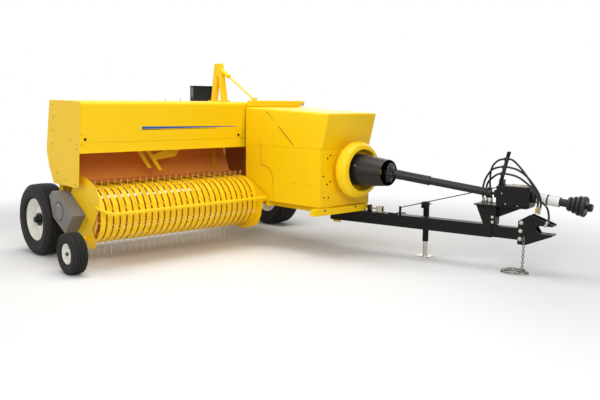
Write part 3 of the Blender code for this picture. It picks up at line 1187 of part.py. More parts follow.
def make_chute():
    """The bale chute with turned-down edges, hinged at the chamber's floor."""
    low = CHAMBER_FLOOR_Z - CHAMBER_WALL
    hinge_x = CHAMBER_REAR - CHUTE_PIN_R - PIN_GAP
    half = CHUTE_WIDTH / 2
    rear = hinge_x - CHUTE_LENGTH
    plate = block("bale_chute", (rear, CHAMBER_Y - half, low - 0.006), (hinge_x, CHAMBER_Y + half, low),
                  "yellow_paint")
    hinge_z = low + CHAMBER_WALL / 2
    joins = [rod("roll", (hinge_x, CHAMBER_Y - half, hinge_z), (hinge_x, CHAMBER_Y + half, hinge_z),
                 CHUTE_PIN_R, "yellow_paint", 12)]
    for y in (CHAMBER_Y - half, CHAMBER_Y + half - 0.006):
        joins.append(block("edge", (rear + 0.001, y, low - 0.050), (hinge_x - 0.010, y + 0.006, low - 0.003),
                           "yellow_paint"))
    axis = pivot("chute_hinge", (hinge_x, CHAMBER_Y, hinge_z))
    carry(axis, [fused(plate, joins)])


def make_tension():
    """The top rail that squeezes the bale, and its cross frame with two spring cranks."""
    half = BALE_WIDTH / 2
    high = CHAMBER_FLOOR_Z + BALE_HEIGHT
    end = TOP_PLATE_REAR - 0.020
    rail = block("top_tension_rail", (CHAMBER_REAR, CHAMBER_Y - 0.150, high + 0.012), (end, CHAMBER_Y + 0.150,
                 high + 0.020), "yellow_paint")
    ribs = [block("rib", (CHAMBER_REAR + 0.001, CHAMBER_Y + y - 0.020, high + 0.014),
                  (end - 0.001, CHAMBER_Y + y + 0.020, high + 0.050), "yellow_paint") for y in (-0.110,
                                                                                                0.110)]
    fused(rail, ribs)
    frame_x = TENSION_FRAME_X
    side = half + CHAMBER_WALL + SEAT_GAP
    outer = [(CHAMBER_Y - side - 0.050, CHAMBER_FLOOR_Z - 0.060),
             (CHAMBER_Y + side + 0.050, CHAMBER_FLOOR_Z - 0.060), (CHAMBER_Y + side + 0.050, high + 0.110),
             (CHAMBER_Y - side - 0.050, high + 0.110)]
    low = CHAMBER_FLOOR_Z - CHAMBER_WALL - SEAT_GAP
    inner = [(CHAMBER_Y - side, low), (CHAMBER_Y + side, low), (CHAMBER_Y + side, high + 0.050 + SEAT_GAP),
             (CHAMBER_Y - side, high + 0.050 + SEAT_GAP)]
    frame = flat("tension_frame", [outer, inner], 0.050, "yellow_paint", (frame_x, 0, 0), (0, 1, 0),
                 (0, 0, 1))
    joins = []
    for y in (CHAMBER_Y - 0.110, CHAMBER_Y + 0.110):
        base = high + 0.105
        joins.append(rod("spring", (frame_x, y, base), (frame_x, y, base + 0.190), 0.024, "yellow_paint"))
        joins.append(rod("screw", (frame_x, y, base + 0.180), (frame_x, y, base + 0.300), 0.009,
                         "yellow_paint", 10))
        joins.append(pipe("handle", [(frame_x, y, base + 0.292), (frame_x - 0.110, y, base + 0.296),
                                     (frame_x - 0.118, y, base + 0.304), (frame_x - 0.120, y, base + 0.380)],
                          0.008, "yellow_paint", 1))
    return fused(frame, joins)


def make_knotters():
    """The knotter stack on the chamber and its thin black upright shield."""
    high = CHAMBER_FLOOR_Z + BALE_HEIGHT + CHAMBER_WALL + SEAT_GAP
    x_mid = KNOTTER_X
    base = block("knotter_frame", (x_mid - 0.100, CHAMBER_Y - 0.182, high), (x_mid + 0.120, CHAMBER_Y + 0.182,
                 high + 0.012), "yellow_paint")
    joins = []
    for y in (-0.182, 0.170):
        outline = [(x_mid - 0.095, high + 0.004), (x_mid + 0.115, high + 0.004),
                   (x_mid + 0.050, high + 0.330), (x_mid - 0.050, high + 0.330)]
        joins.append(side_plate("cheek", [outline], CHAMBER_Y + y, CHAMBER_Y + y + 0.012, "yellow_paint"))
    joins.append(rod("shaft", (x_mid, CHAMBER_Y - 0.220, high + 0.270),
                     (x_mid, CHAMBER_Y + 0.220, high + 0.270), 0.016, "yellow_paint", 12))
    for y in (-0.085, 0.085):
        joins.append(rod("cam", (x_mid, CHAMBER_Y + y - 0.012, high + 0.270),
                         (x_mid, CHAMBER_Y + y + 0.012, high + 0.270), 0.110, "yellow_paint", 24))
        joins.append(block("hook", (x_mid - 0.045, CHAMBER_Y + y + 0.008, high + 0.008), (x_mid + 0.045,
                           CHAMBER_Y + y + 0.050, high + 0.200), "yellow_paint"))
    fused(base, joins)
    shield = open_box("knotter_shield", (KNOTTER_SHIELD_X[0], CHAMBER_Y - 0.170, KNOTTER_SHIELD_Z[0]),
                      (KNOTTER_SHIELD_X[1], CHAMBER_Y + 0.180, KNOTTER_SHIELD_Z[1]), [(1, 0, 0), (0, 0, -1)],
                      SHEET, "black_plastic")
    legs = [block("leg", (KNOTTER_SHIELD_X[0] + 0.002, y, high),
                  (KNOTTER_SHIELD_X[0] + 0.020, y + 0.020, KNOTTER_SHIELD_Z[0] + 0.010),
                  "black_plastic") for y in (CHAMBER_Y - 0.168, CHAMBER_Y + 0.158)]
    return fused(shield, legs)


def make_twine_box():
    """The twine box on the chamber's left side, with its lid."""
    x_low, x_high = TWINE_BOX_X
    y_low = CHAMBER_Y + BALE_WIDTH / 2 + CHAMBER_WALL + SEAT_GAP
    y_high = y_low + TWINE_BOX_WIDTH
    z_low, z_high = TWINE_BOX_Z
    open_box("twine_box", (x_low, y_low, z_low), (x_high, y_high, z_high), [(0, 0, 1)], TWINE_BOX_SHEET,
             "yellow_paint")
    lid = block("twine_box_lid", (x_low - 0.010, y_low, z_high + SEAT_GAP), (x_high + 0.010, y_high + 0.012,
                z_high + 0.014), "yellow_paint", 0.003)
    axis = pivot("twine_lid_hinge", ((x_low + x_high) / 2, y_low, z_high + 0.014))
    carry(axis, [lid])


def centre_machine():
    """Moves the whole machine so that its box stands centred on the origin."""
    bpy.context.view_layer.update()
    graph = bpy.context.evaluated_depsgraph_get()
    corners = []
    for item in machine.objects:
        if item.type == "MESH":
            shown = item.evaluated_get(graph)
            corners += [shown.matrix_world @ vert.co for vert in shown.data.vertices]
    middle_x = (min(c.x for c in corners) + max(c.x for c in corners)) / 2
    middle_y = (min(c.y for c in corners) + max(c.y for c in corners)) / 2
    low_z = min(c.z for c in corners)
    for item in machine.objects:
        if item.parent is None:
            item.location -= Vector((middle_x, middle_y, low_z))


def build():
    make_main_wheels()
    make_axle()
    make_frame()
    make_feeder_beam()
    make_chamber()
    make_feeder()
    make_feeder_fork()
    make_upper_hood()
    make_lower_hood()
    make_flywheel()
    make_gearbox()
    make_mast()
    make_top_beam()
    make_pickup()
    make_tongue()
    make_chute()
    make_tension()
    make_knotters()
    make_twine_box()
    centre_machine()


build()
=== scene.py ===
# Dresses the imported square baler: camera, light, floor, procedural materials and fine pieces.
# Places are in the axle frame of the part: X is 0 at the main wheel axle, Y is 0 near the feeder's middle.
# Places on the tongue are u forwards from its pivot, v to the left and z up.

import json
from math import cos, pi, radians, sin

import bmesh
import bpy
from mathutils import Matrix, Vector
from mathutils.bvhtree import BVHTree


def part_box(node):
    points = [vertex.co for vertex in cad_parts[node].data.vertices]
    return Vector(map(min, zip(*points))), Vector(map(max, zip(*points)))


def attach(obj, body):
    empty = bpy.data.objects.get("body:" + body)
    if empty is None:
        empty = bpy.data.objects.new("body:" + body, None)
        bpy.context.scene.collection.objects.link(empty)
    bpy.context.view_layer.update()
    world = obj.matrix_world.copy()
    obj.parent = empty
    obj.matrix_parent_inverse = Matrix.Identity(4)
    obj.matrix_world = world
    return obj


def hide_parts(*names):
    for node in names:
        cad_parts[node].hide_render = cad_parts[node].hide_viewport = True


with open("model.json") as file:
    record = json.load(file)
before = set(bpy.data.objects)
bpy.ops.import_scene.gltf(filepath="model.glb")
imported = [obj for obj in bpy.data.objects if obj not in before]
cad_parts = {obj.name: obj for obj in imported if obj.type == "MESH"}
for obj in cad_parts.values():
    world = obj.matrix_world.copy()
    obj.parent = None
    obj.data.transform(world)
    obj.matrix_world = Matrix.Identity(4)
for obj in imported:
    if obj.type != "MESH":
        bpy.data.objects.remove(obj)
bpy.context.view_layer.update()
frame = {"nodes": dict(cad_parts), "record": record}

# Camera, solved from the photograph in the axle frame
CAMERA_PLACE = (6.918, -4.187, 1.500)
CAMERA_YAW = radians(42.70)
CAMERA_PITCH = radians(7.58)
CAMERA_ROLL = radians(0.566)
CAMERA_LENS = 44.88
SENSOR = 36.0
PICTURE = (600, 400)

# Sizes that the pieces share with the part
RIGHT_WHEEL_Y = -1.160
TONGUE_PIVOT = (1.600, 1.243)
TONGUE_ANGLE = radians(12.2)
SHAFT_PLACE = (2.0003, 0.0, 0.690)
SHAFT_FALL = 0.110
HOSE_R = 0.009


def axle_origin():
    """The axle frame's origin in the model's own frame, found from the right tyre's box."""
    low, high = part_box("right_wheel_tyre")
    return Vector(((low[0] + high[0]) / 2, (low[1] + high[1]) / 2 - RIGHT_WHEEL_Y, 0.0))


ORIGIN = axle_origin()


def place(x, y, z):
    """A place in the axle frame, in the model's own frame."""
    return Vector((x, y, z)) + ORIGIN


def on_tongue(u, v, z):
    """A place in the tongue's frame, in the model's own frame."""
    x = TONGUE_PIVOT[0] + u * cos(TONGUE_ANGLE) - v * sin(TONGUE_ANGLE)
    y = TONGUE_PIVOT[1] + u * sin(TONGUE_ANGLE) + v * cos(TONGUE_ANGLE)
    return place(x, y, z)


def camera_axes():
    """The camera's right, up and forward directions."""
    forward = Vector((-cos(CAMERA_YAW) * cos(CAMERA_PITCH), sin(CAMERA_YAW) * cos(CAMERA_PITCH),
                      -sin(CAMERA_PITCH)))
    level = Vector((sin(CAMERA_YAW), cos(CAMERA_YAW), 0.0))
    upright = level.cross(forward)
    right = level * cos(CAMERA_ROLL) + upright * sin(CAMERA_ROLL)
    up = upright * cos(CAMERA_ROLL) - level * sin(CAMERA_ROLL)
    return right, up, forward


def make_camera():
    """The photograph's camera."""
    right, up, forward = camera_axes()
    data = bpy.data.cameras.new("camera")
    data.lens = CAMERA_LENS
    data.sensor_width = SENSOR
    camera = bpy.data.objects.new("camera", data)
    turn = Matrix((right, up, -forward)).transposed().to_4x4()
    turn.translation = Vector(CAMERA_PLACE) + ORIGIN
    camera.matrix_world = turn
    bpy.context.scene.collection.objects.link(camera)
    bpy.context.scene.camera = camera


# Light and floor
LAMPS = (
    # name, place, target, size, power
    ("top_light", (1.2, 0.0, 5.5), (1.0, 0.2, 0.5), (5.0, 4.0), 240),
    ("front_light", (6.2, -2.8, 3.4), (1.2, 0.2, 0.7), (4.0, 2.6), 200),
    ("side_light", (-1.5, -5.5, 2.8), (0.3, -0.6, 0.7), (3.5, 2.4), 80),
    ("back_light", (-1.5, 6.0, 3.5), (0.5, 0.5, 0.5), (4.0, 2.5), 60),
)
WHITE = (1.0, 1.0, 1.0, 1.0)
WORLD_LIGHT = 0.26
FLOOR_COLOUR = 0.78
FLOOR_GLOW = 0.02
FLOOR_FADE = (2.7, 5.5)
FLOOR_HALF = 30.0
FLOOR_MIDDLE = (1.0, 0.2, -0.0005)


def add(tree, kind, values=None, **settings):
    """A shader node with its own settings and the values of its sockets."""
    node = tree.nodes.new("ShaderNode" + kind)
    for name, setting in settings.items():
        setattr(node, name, setting)
    for socket, value in (values or {}).items():
        node.inputs[socket].default_value = value
    return node


def join(tree, *pairs):
    """Links, each from an output to an input."""
    for output, socket in pairs:
        tree.links.new(output, socket)


def make_light():
    """Four area lamps, and a world that is white to look at and dimmer as a light."""
    for name, start, target, size, power in LAMPS:
        data = bpy.data.lights.new(name, "AREA")
        data.shape = "RECTANGLE"
        data.size, data.size_y = size
        data.energy = power
        lamp = bpy.data.objects.new(name, data)
        lamp.location = Vector(start) + ORIGIN
        lamp.rotation_euler = (Vector(target) - Vector(start)).to_track_quat("-Z", "Y").to_euler()
        bpy.context.scene.collection.objects.link(lamp)
    world = bpy.data.worlds.new("studio")
    world.use_nodes = True
    bpy.context.scene.world = world
    tree = world.node_tree
    tree.nodes.clear()
    out = add(tree, "OutputWorld")
    seen = add(tree, "Background", {"Color": WHITE, "Strength": 1.0})
    lit = add(tree, "Background", {"Color": WHITE, "Strength": WORLD_LIGHT})
    mix = add(tree, "MixShader")
    join(tree,
         (white_rays(tree), mix.inputs[0]),
         (lit.outputs[0], mix.inputs[1]),
         (seen.outputs[0], mix.inputs[2]),
         (mix.outputs[0], out.inputs[0]))


def white_rays(tree):
    """1 for rays that show the background: camera, glossy and transmission rays."""
    path = add(tree, "LightPath")
    both = add(tree, "Math", operation="MAXIMUM")
    every = add(tree, "Math", operation="MAXIMUM")
    join(tree,
         (path.outputs["Is Camera Ray"], both.inputs[0]),
         (path.outputs["Is Glossy Ray"], both.inputs[1]),
         (both.outputs[0], every.inputs[0]),
         (path.outputs["Is Transmission Ray"], every.inputs[1]))
    return every.outputs[0]


def floor_finish():
    """Matt white that glows a little where a ray shows it, and turns into plain white light far out."""
    material = bpy.data.materials.new("floor_white")
    material.use_nodes = True
    tree = material.node_tree
    tree.nodes.clear()
    out = add(tree, "OutputMaterial")
    plain = add(tree, "BsdfDiffuse", {"Color": (FLOOR_COLOUR, FLOOR_COLOUR, FLOOR_COLOUR, 1.0)})
    glow = add(tree, "Emission", {"Color": WHITE})
    near = add(tree, "AddShader")
    far = add(tree, "Emission", {"Color": WHITE})
    blend = add(tree, "MixShader")
    rays = white_rays(tree)
    level = add(tree, "Math", {1: FLOOR_GLOW}, operation="MULTIPLY")
    spot = add(tree, "TexCoord")
    length = add(tree, "VectorMath", operation="LENGTH")
    fade = add(tree, "MapRange", {"From Min": FLOOR_FADE[0], "From Max": FLOOR_FADE[1]},
               interpolation_type="SMOOTHSTEP")
    share = add(tree, "Math", operation="MULTIPLY")
    join(tree,
         (rays, level.inputs[0]),
         (level.outputs[0], glow.inputs["Strength"]),
         (spot.outputs["Object"], length.inputs[0]),
         (length.outputs["Value"], fade.inputs["Value"]),
         (fade.outputs["Result"], share.inputs[0]),
         (rays, share.inputs[1]),
         (plain.outputs[0], near.inputs[0]),
         (glow.outputs[0], near.inputs[1]),
         (share.outputs[0], blend.inputs[0]),
         (near.outputs[0], blend.inputs[1]),
         (far.outputs[0], blend.inputs[2]),
         (blend.outputs[0], out.inputs[0]))
    return material


def make_floor():
    """A pale floor that keeps the machine's shadow."""
    mesh = bpy.data.meshes.new("floor")
    form = bmesh.new()
    bmesh.ops.create_grid(form, x_segments=1, y_segments=1, size=FLOOR_HALF)
    form.to_mesh(mesh)
    form.free()
    floor = bpy.data.objects.new("floor", mesh)
    floor.location = ORIGIN + Vector(FLOOR_MIDDLE)
    bpy.context.scene.collection.objects.link(floor)
    mesh.materials.append(floor_finish())


# Finishes
FINISH_TABLE = (
    # name, colour, second colour, roughness, spread, grain, bump, metallic, specular
    ("yellow_paint", (0.94, 0.605, 0.003), (0.90, 0.565, 0.003), 0.38, 0.06, 420.0, 0.08, 0.0, 0.28),
    ("black_paint", (0.006, 0.006, 0.006), (0.010, 0.010, 0.010), 0.38, 0.08, 380.0, 0.14, 0.0, 0.14),
    ("grey_paint", (0.205, 0.190, 0.170), (0.165, 0.152, 0.138), 0.50, 0.06, 300.0, 0.10, 0.0, 0.30),
    ("black_plastic", (0.010, 0.010, 0.010), (0.015, 0.014, 0.013), 0.40, 0.06, 900.0, 0.20, 0.0, 0.28),
    ("white_paint", (0.86, 0.83, 0.76), (0.80, 0.77, 0.70), 0.38, 0.06, 300.0, 0.06, 0.0, 0.50),
    ("tyre_rubber", (0.012, 0.012, 0.012), (0.022, 0.021, 0.020), 0.66, 0.10, 500.0, 0.40, 0.0, 0.18),
    ("zinc", (0.60, 0.57, 0.50), (0.46, 0.44, 0.39), 0.34, 0.09, 700.0, 0.14, 1.0, 0.50),
    ("cast_iron", (0.06, 0.06, 0.065), (0.10, 0.10, 0.105), 0.55, 0.08, 160.0, 0.35, 0.6, 0.50),
    ("chain_steel", (0.30, 0.29, 0.26), (0.18, 0.17, 0.16), 0.30, 0.10, 700.0, 0.14, 1.0, 0.50),
    ("white_sleeve", (0.72, 0.71, 0.69), (0.63, 0.62, 0.60), 0.46, 0.07, 500.0, 0.10, 0.0, 0.50),
    ("stripe_blue", (0.012, 0.100, 0.400), (0.010, 0.085, 0.340), 0.36, 0.05, 500.0, 0.04, 0.0, 0.30),
    ("brass", (0.62, 0.43, 0.15), (0.50, 0.36, 0.13), 0.32, 0.08, 600.0, 0.12, 1.0, 0.50),
    ("tan_cover", (0.33, 0.29, 0.22), (0.27, 0.24, 0.18), 0.50, 0.07, 500.0, 0.14, 0.0, 0.40),
    ("shade", (0.006, 0.006, 0.006), (0.010, 0.010, 0.010), 0.80, 0.05, 300.0, 0.10, 0.0, 0.10),
)
# The record's slot for each finish that isn't named after its slot
OTHER_SLOTS = {
    "chain_steel": "zinc",
    "white_sleeve": None,
    "stripe_blue": None,
    "brass": "zinc",
    "tan_cover": None,
    "shade": "black_plastic",
}
PATCH_SCALE = 5.0
PATCH_DETAIL = 4.0
GRAIN_DETAIL = 3.0
NOISE_SPAN = (0.3, 0.7)
EDGE_ROUND = 0.0025
EDGE_SAMPLES = 4
BUMP_HEIGHT = 0.001


def surface(name, colour, second, roughness, spread, grain, bump, metallic, specular):
    """A procedural finish: two close colours in soft patches, uneven gloss, round edges and a fine bump."""
    material = bpy.data.materials.new(name)
    material.use_nodes = True
    tree = material.node_tree
    shader = tree.nodes["Principled BSDF"]
    spot = add(tree, "TexCoord")
    large = add(tree, "TexNoise", {"Scale": PATCH_SCALE, "Detail": PATCH_DETAIL})
    fine = add(tree, "TexNoise", {"Scale": grain, "Detail": GRAIN_DETAIL})
    mix = add(tree, "Mix", {"A": (*colour, 1.0), "B": (*second, 1.0)}, data_type="RGBA")
    gloss = add(tree, "MapRange", {"From Min": NOISE_SPAN[0], "From Max": NOISE_SPAN[1],
                                   "To Min": roughness - spread, "To Max": roughness + spread})
    edge = add(tree, "Bevel", {"Radius": EDGE_ROUND}, samples=EDGE_SAMPLES)
    relief = add(tree, "Bump", {"Strength": bump, "Distance": BUMP_HEIGHT})
    join(tree,
         (spot.outputs["Object"], large.inputs["Vector"]),
         (spot.outputs["Object"], fine.inputs["Vector"]),
         (large.outputs["Fac"], mix.inputs["Factor"]),
         (mix.outputs["Result"], shader.inputs["Base Color"]),
         (large.outputs["Fac"], gloss.inputs["Value"]),
         (gloss.outputs["Result"], shader.inputs["Roughness"]),
         (fine.outputs["Fac"], relief.inputs["Height"]),
         (edge.outputs["Normal"], relief.inputs["Normal"]),
         (relief.outputs["Normal"], shader.inputs["Normal"]))
    shader.inputs["Metallic"].default_value = metallic
    shader.inputs["Specular IOR Level"].default_value = specular
    return material


FINISHES = {row[0]: surface(*row) for row in FINISH_TABLE}
SLOTS = {name: OTHER_SLOTS.get(name, name) for name in FINISHES}


def paint_nodes():
    """Each node's finish, by its slot in the record."""
    slots = {row["node"]: row["material_slot"] for row in frame["record"]["subparts"]}
    for name, item in frame["nodes"].items():
        item.data.materials.clear()
        item.data.materials.append(FINISHES[slots[name]])


def yellow_copy(name):
    """A copy of the yellow paint, with its node tree and its shader."""
    material = FINISHES["yellow_paint"].copy()
    material.name = name
    return material, material.node_tree, material.node_tree.nodes["Principled BSDF"]


FEEDER_MIDDLE = (0.500, -0.150, 1.050)
CHAMBER_MIDDLE = (0.500, 1.080, 0.800)
BAND_MIDDLE = (0.790, -0.2365, 0.465)
# Nodes whose inward faces are painted deep orange as bounce light and shade
BOUNCE_SHADE_NODES = (
    # node, the place that its inner faces look at, the directions that count, the least X
    ("feeder_shell", FEEDER_MIDDLE, (1.0, 1.0, 1.0), 0.0),
    ("feeder_end_panel", FEEDER_MIDDLE, (0.0, 1.0, 0.0), 0.0),
    ("chamber_right_wall", FEEDER_MIDDLE, (0.0, 1.0, 0.0), 0.125),
    ("chamber_left_wall", FEEDER_MIDDLE, (0.0, 1.0, 0.0), -0.450),
    ("chamber_floor", CHAMBER_MIDDLE, (0.0, 0.0, 1.0), -0.450),
    ("pickup_guards", BAND_MIDDLE, (1.0, 0.0, 1.0), 0.0),
)
# The deep orange of the painted bounce light and shade
BOUNCE_SHADE_ORANGE = (0.97, 0.400, 0.080, 1.0)


def bounce_shade_finish(name, middle, counts, least):
    """Yellow paint with painted bounce light and shade: deep orange on faces that look inwards, standing in
    for the yellow light that bounces about there.
    """
    material, tree, shader = yellow_copy(name)
    under = shader.inputs["Base Color"].links[0].from_socket
    spot = add(tree, "TexCoord")
    inward = add(tree, "VectorMath", {0: place(*middle)}, operation="SUBTRACT")
    counted = add(tree, "VectorMath", {1: counts}, operation="MULTIPLY")
    facing = add(tree, "VectorMath", operation="DOT_PRODUCT")
    inside = add(tree, "Math", {1: 0.0}, operation="GREATER_THAN")
    parted = add(tree, "SeparateXYZ")
    beyond = add(tree, "Math", {1: place(least, 0.0, 0.0).x}, operation="GREATER_THAN")
    both = add(tree, "Math", operation="MULTIPLY")
    mix = add(tree, "Mix", {"B": BOUNCE_SHADE_ORANGE}, data_type="RGBA")
    join(tree,
         (spot.outputs["Object"], inward.inputs[1]),
         (inward.outputs["Vector"], counted.inputs[0]),
         (counted.outputs["Vector"], facing.inputs[0]),
         (spot.outputs["Normal"], facing.inputs[1]),
         (facing.outputs["Value"], inside.inputs[0]),
         (spot.outputs["Object"], parted.inputs["Vector"]),
         (parted.outputs["X"], beyond.inputs[0]),
         (inside.outputs["Value"], both.inputs[0]),
         (beyond.outputs["Value"], both.inputs[1]),
         (both.outputs["Value"], mix.inputs["Factor"]),
         (under, mix.inputs["A"]),
         (mix.outputs["Result"], shader.inputs["Base Color"]))
    return material


def paint_bounce_shade():
    """Painted bounce light and shade on the hollow nodes' inward faces, and on the sheet behind the reel."""
    for node, middle, counts, least in BOUNCE_SHADE_NODES:
        frame["nodes"][node].data.materials[0] = bounce_shade_finish(node + "_paint", middle, counts, least)
    # The sheet behind the reel gets the same painted bounce light and shade
    FINISHES["back_bounce_shade"] = bounce_shade_finish("back_bounce_shade", BAND_MIDDLE, (1.0, 0.0, 0.0), 0.0)
    SLOTS["back_bounce_shade"] = "yellow_paint"


REEL_AXIS = (0.790, 0.430)
TINE_START = (0.155, 0.175)
# Deep orange painted on the reel's bars as bounce light and shade inside the bands
BAR_BOUNCE_ORANGE = (0.92, 0.480, 0.010, 1.0)
TINE_STEEL = (0.80, 0.62, 0.26, 1.0)


def paint_reel():
    """Deep orange as painted bounce light and shade on the reel's shaft, discs and bars inside the bands, and
    pale steel on the tines beyond them.
    """
    material, tree, shader = yellow_copy("reel_paint")
    spot = add(tree, "TexCoord")
    centre = add(tree, "VectorMath", {1: place(REEL_AXIS[0], 0.0, REEL_AXIS[1])}, operation="SUBTRACT")
    across = add(tree, "VectorMath", {1: (1.0, 0.0, 1.0)}, operation="MULTIPLY")
    length = add(tree, "VectorMath", operation="LENGTH")
    start = add(tree, "MapRange", {"From Min": TINE_START[0], "From Max": TINE_START[1]})
    mix = add(tree, "Mix", {"A": BAR_BOUNCE_ORANGE, "B": TINE_STEEL}, data_type="RGBA")
    join(tree,
         (spot.outputs["Object"], centre.inputs[0]),
         (centre.outputs["Vector"], across.inputs[0]),
         (across.outputs["Vector"], length.inputs[0]),
         (length.outputs["Value"], start.inputs["Value"]),
         (start.outputs["Result"], mix.inputs["Factor"]),
         (mix.outputs["Result"], shader.inputs["Base Color"]))
    frame["nodes"]["tine_reel"].data.materials[0] = material


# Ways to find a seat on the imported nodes
TREES = {}


def node_tree(node):
    """A search tree of one node's surface, in the model's own frame."""
    if node not in TREES:
        TREES[node] = BVHTree.FromObject(frame["nodes"][node], bpy.context.evaluated_depsgraph_get())
    return TREES[node]


def seat(node, start, way):
    """Where a line from a place meets a node, and the surface's direction there."""
    spot, normal, _, _ = node_tree(node).ray_cast(start, way)
    if spot is None:
        raise ValueError(f"{node} isn't met from {tuple(round(v, 3) for v in start)}")
    return spot, (normal if normal.dot(way) < 0 else -normal)


def picture_seat(node, pixel):
    """Where a pixel of the photograph lies on a node."""
    right, up, forward = camera_axes()
    scale = CAMERA_LENS / SENSOR * PICTURE[0]
    across = (pixel[0] - PICTURE[0] / 2) / scale
    above = (PICTURE[1] / 2 - pixel[1]) / scale
    return seat(node, Vector(CAMERA_PLACE) + ORIGIN, (forward + right * across + up * above).normalized())


# Forms
MERGE_DISTANCE = 0.00001
SHARP_ANGLE = 32.0


def piece(name, form, body, finish, sharp=SHARP_ANGLE):
    """Turns a form into a piece that rides on a body."""
    bmesh.ops.remove_doubles(form, verts=form.verts, dist=MERGE_DISTANCE)
    bmesh.ops.recalc_face_normals(form, faces=form.faces)
    mesh = bpy.data.meshes.new(name)
    form.to_mesh(mesh)
    form.free()
    mesh.shade_smooth()
    mesh.set_sharp_from_angle(angle=radians(sharp))
    mesh.materials.append(FINISHES[finish])
    item = bpy.data.objects.new(name, mesh)
    bpy.context.scene.collection.objects.link(item)
    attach(item, body)
    return item


def lathe(form, profile, origin, along, steps=24, closed=False):
    """Turns a profile of (radius, height) about an axis."""
    axis = Vector(along).normalized()
    side = axis.orthogonal().normalized()
    other = axis.cross(side)
    rings = []
    for step in range(steps):
        turn = 2 * pi * step / steps
        out = side * cos(turn) + other * sin(turn)
        spots = [Vector(origin) + axis * height + out * radius for radius, height in profile]
        rings.append([form.verts.new(spot) for spot in spots])
    spans = len(profile) if closed else len(profile) - 1
    for ring, after in zip(rings, rings[1:] + rings[:1]):
        for i in range(spans):
            j = (i + 1) % len(profile)
            form.faces.new((ring[i], ring[j], after[j], after[i]))


def ring_places(origin, along, radius, height, count):
    """Places around an axis, all at one radius and one height."""
    side = along.orthogonal().normalized()
    other = along.cross(side)
    turns = [2 * pi * i / count for i in range(count)]
    return [origin + (side * cos(turn) + other * sin(turn)) * radius + along * height for turn in turns]


def tube(form, points, radius, sides=8, closed=False):
    """A round wire along a chain of points, turned as little as possible on its way."""
    points = [Vector(point) for point in points]
    count = len(points)
    rings = []
    side = None
    for i, point in enumerate(points):
        before = points[i - 1] if closed or i else point
        after = points[(i + 1) % count] if closed or i < count - 1 else point
        way = (after - before).normalized()
        side = way.orthogonal() if side is None else side - way * side.dot(way)
        side.normalize()
        other = way.cross(side)
        turns = [2 * pi * k / sides for k in range(sides)]
        rings.append([form.verts.new(point + (side * cos(t) + other * sin(t)) * radius) for t in turns])
    pairs = list(zip(rings, rings[1:]))
    if closed:
        pairs.append((rings[-1], rings[0]))
    for ring, after in pairs:
        for k in range(sides):
            form.faces.new((ring[k], ring[(k + 1) % sides], after[(k + 1) % sides], after[k]))
    if not closed:
        form.faces.new(rings[0])
        form.faces.new(rings[-1])


def slab(form, corners, way, thickness):
    """A plate from its corners, with its thickness along one direction."""
    low = [form.verts.new(Vector(corner)) for corner in corners]
    high = [form.verts.new(Vector(corner) + Vector(way).normalized() * thickness) for corner in corners]
    form.faces.new(low)
    form.faces.new(high)
    for i in range(len(low)):
        j = (i + 1) % len(low)
        form.faces.new((low[i], low[j], high[j], high[i]))


BLOCK_EDGE = 0.003


def tongue_block(form, low, high, bevel=BLOCK_EDGE):
    """A box in the tongue's frame with rounded edges."""
    part = bmesh.new()
    bmesh.ops.create_cube(part, size=1.0)
    for vert in part.verts:
        share = vert.co + Vector((0.5, 0.5, 0.5))
        u, v, z = [a + (b - a) * s for a, b, s in zip(low, high, share)]
        vert.co = on_tongue(u, v, z)
    bmesh.ops.bevel(part, geom=part.edges, offset=bevel, segments=2, affect="EDGES", profile=0.5)
    scratch = bpy.data.meshes.new("scratch")
    part.to_mesh(scratch)
    part.free()
    form.from_mesh(scratch)
    bpy.data.meshes.remove(scratch)


def tongue_blocks(form, blocks, origin):
    """Boxes in the tongue's frame, their corners counted from one place."""
    for low, high in blocks:
        tongue_block(form, [a + b for a, b in zip(origin, low)], [a + b for a, b in zip(origin, high)])


# Fastener profiles as shares of the fastener's size: radius, height
WASHER = ((0.0, 0.22), (1.25, 0.22), (1.35, 0.12), (1.35, 0.0))
HEX_HEAD = ((0.0, 0.95), (0.78, 0.95), (1.0, 0.80), (1.0, 0.20))
DOME = tuple((sin(turn), 0.5 * cos(turn)) for turn in (0.0, 0.4, 0.8, 1.2, pi / 2))


def sized(profile, size):
    """A profile of shares at a size."""
    return [(radius * size, height * size) for radius, height in profile]


def bolt(form, spot, normal, size):
    """A hex head on its washer. The size is the head's radius."""
    lathe(form, sized(WASHER, size), spot, normal, steps=16)
    lathe(form, sized(HEX_HEAD, size), spot, normal, steps=6)


def rivet(form, spot, normal, size):
    """A low domed head. The size is its radius."""
    lathe(form, sized(DOME, size), spot, normal, steps=12)


def smooth_route(points, parts):
    """More points along a chain, on a Catmull-Rom curve through it."""
    chain = [Vector(point) for point in points]
    padded = [chain[0]] + chain + [chain[-1]]
    route = []
    for before, here, there, after in zip(padded, padded[1:], padded[2:], padded[3:]):
        for step in range(parts):
            t = step / parts
            square = 2 * before - 5 * here + 4 * there - after
            cube = 3 * here - before - 3 * there + after
            route.append(0.5 * (2 * here + (there - before) * t + square * t * t + cube * t ** 3))
    route.append(chain[-1])
    return route


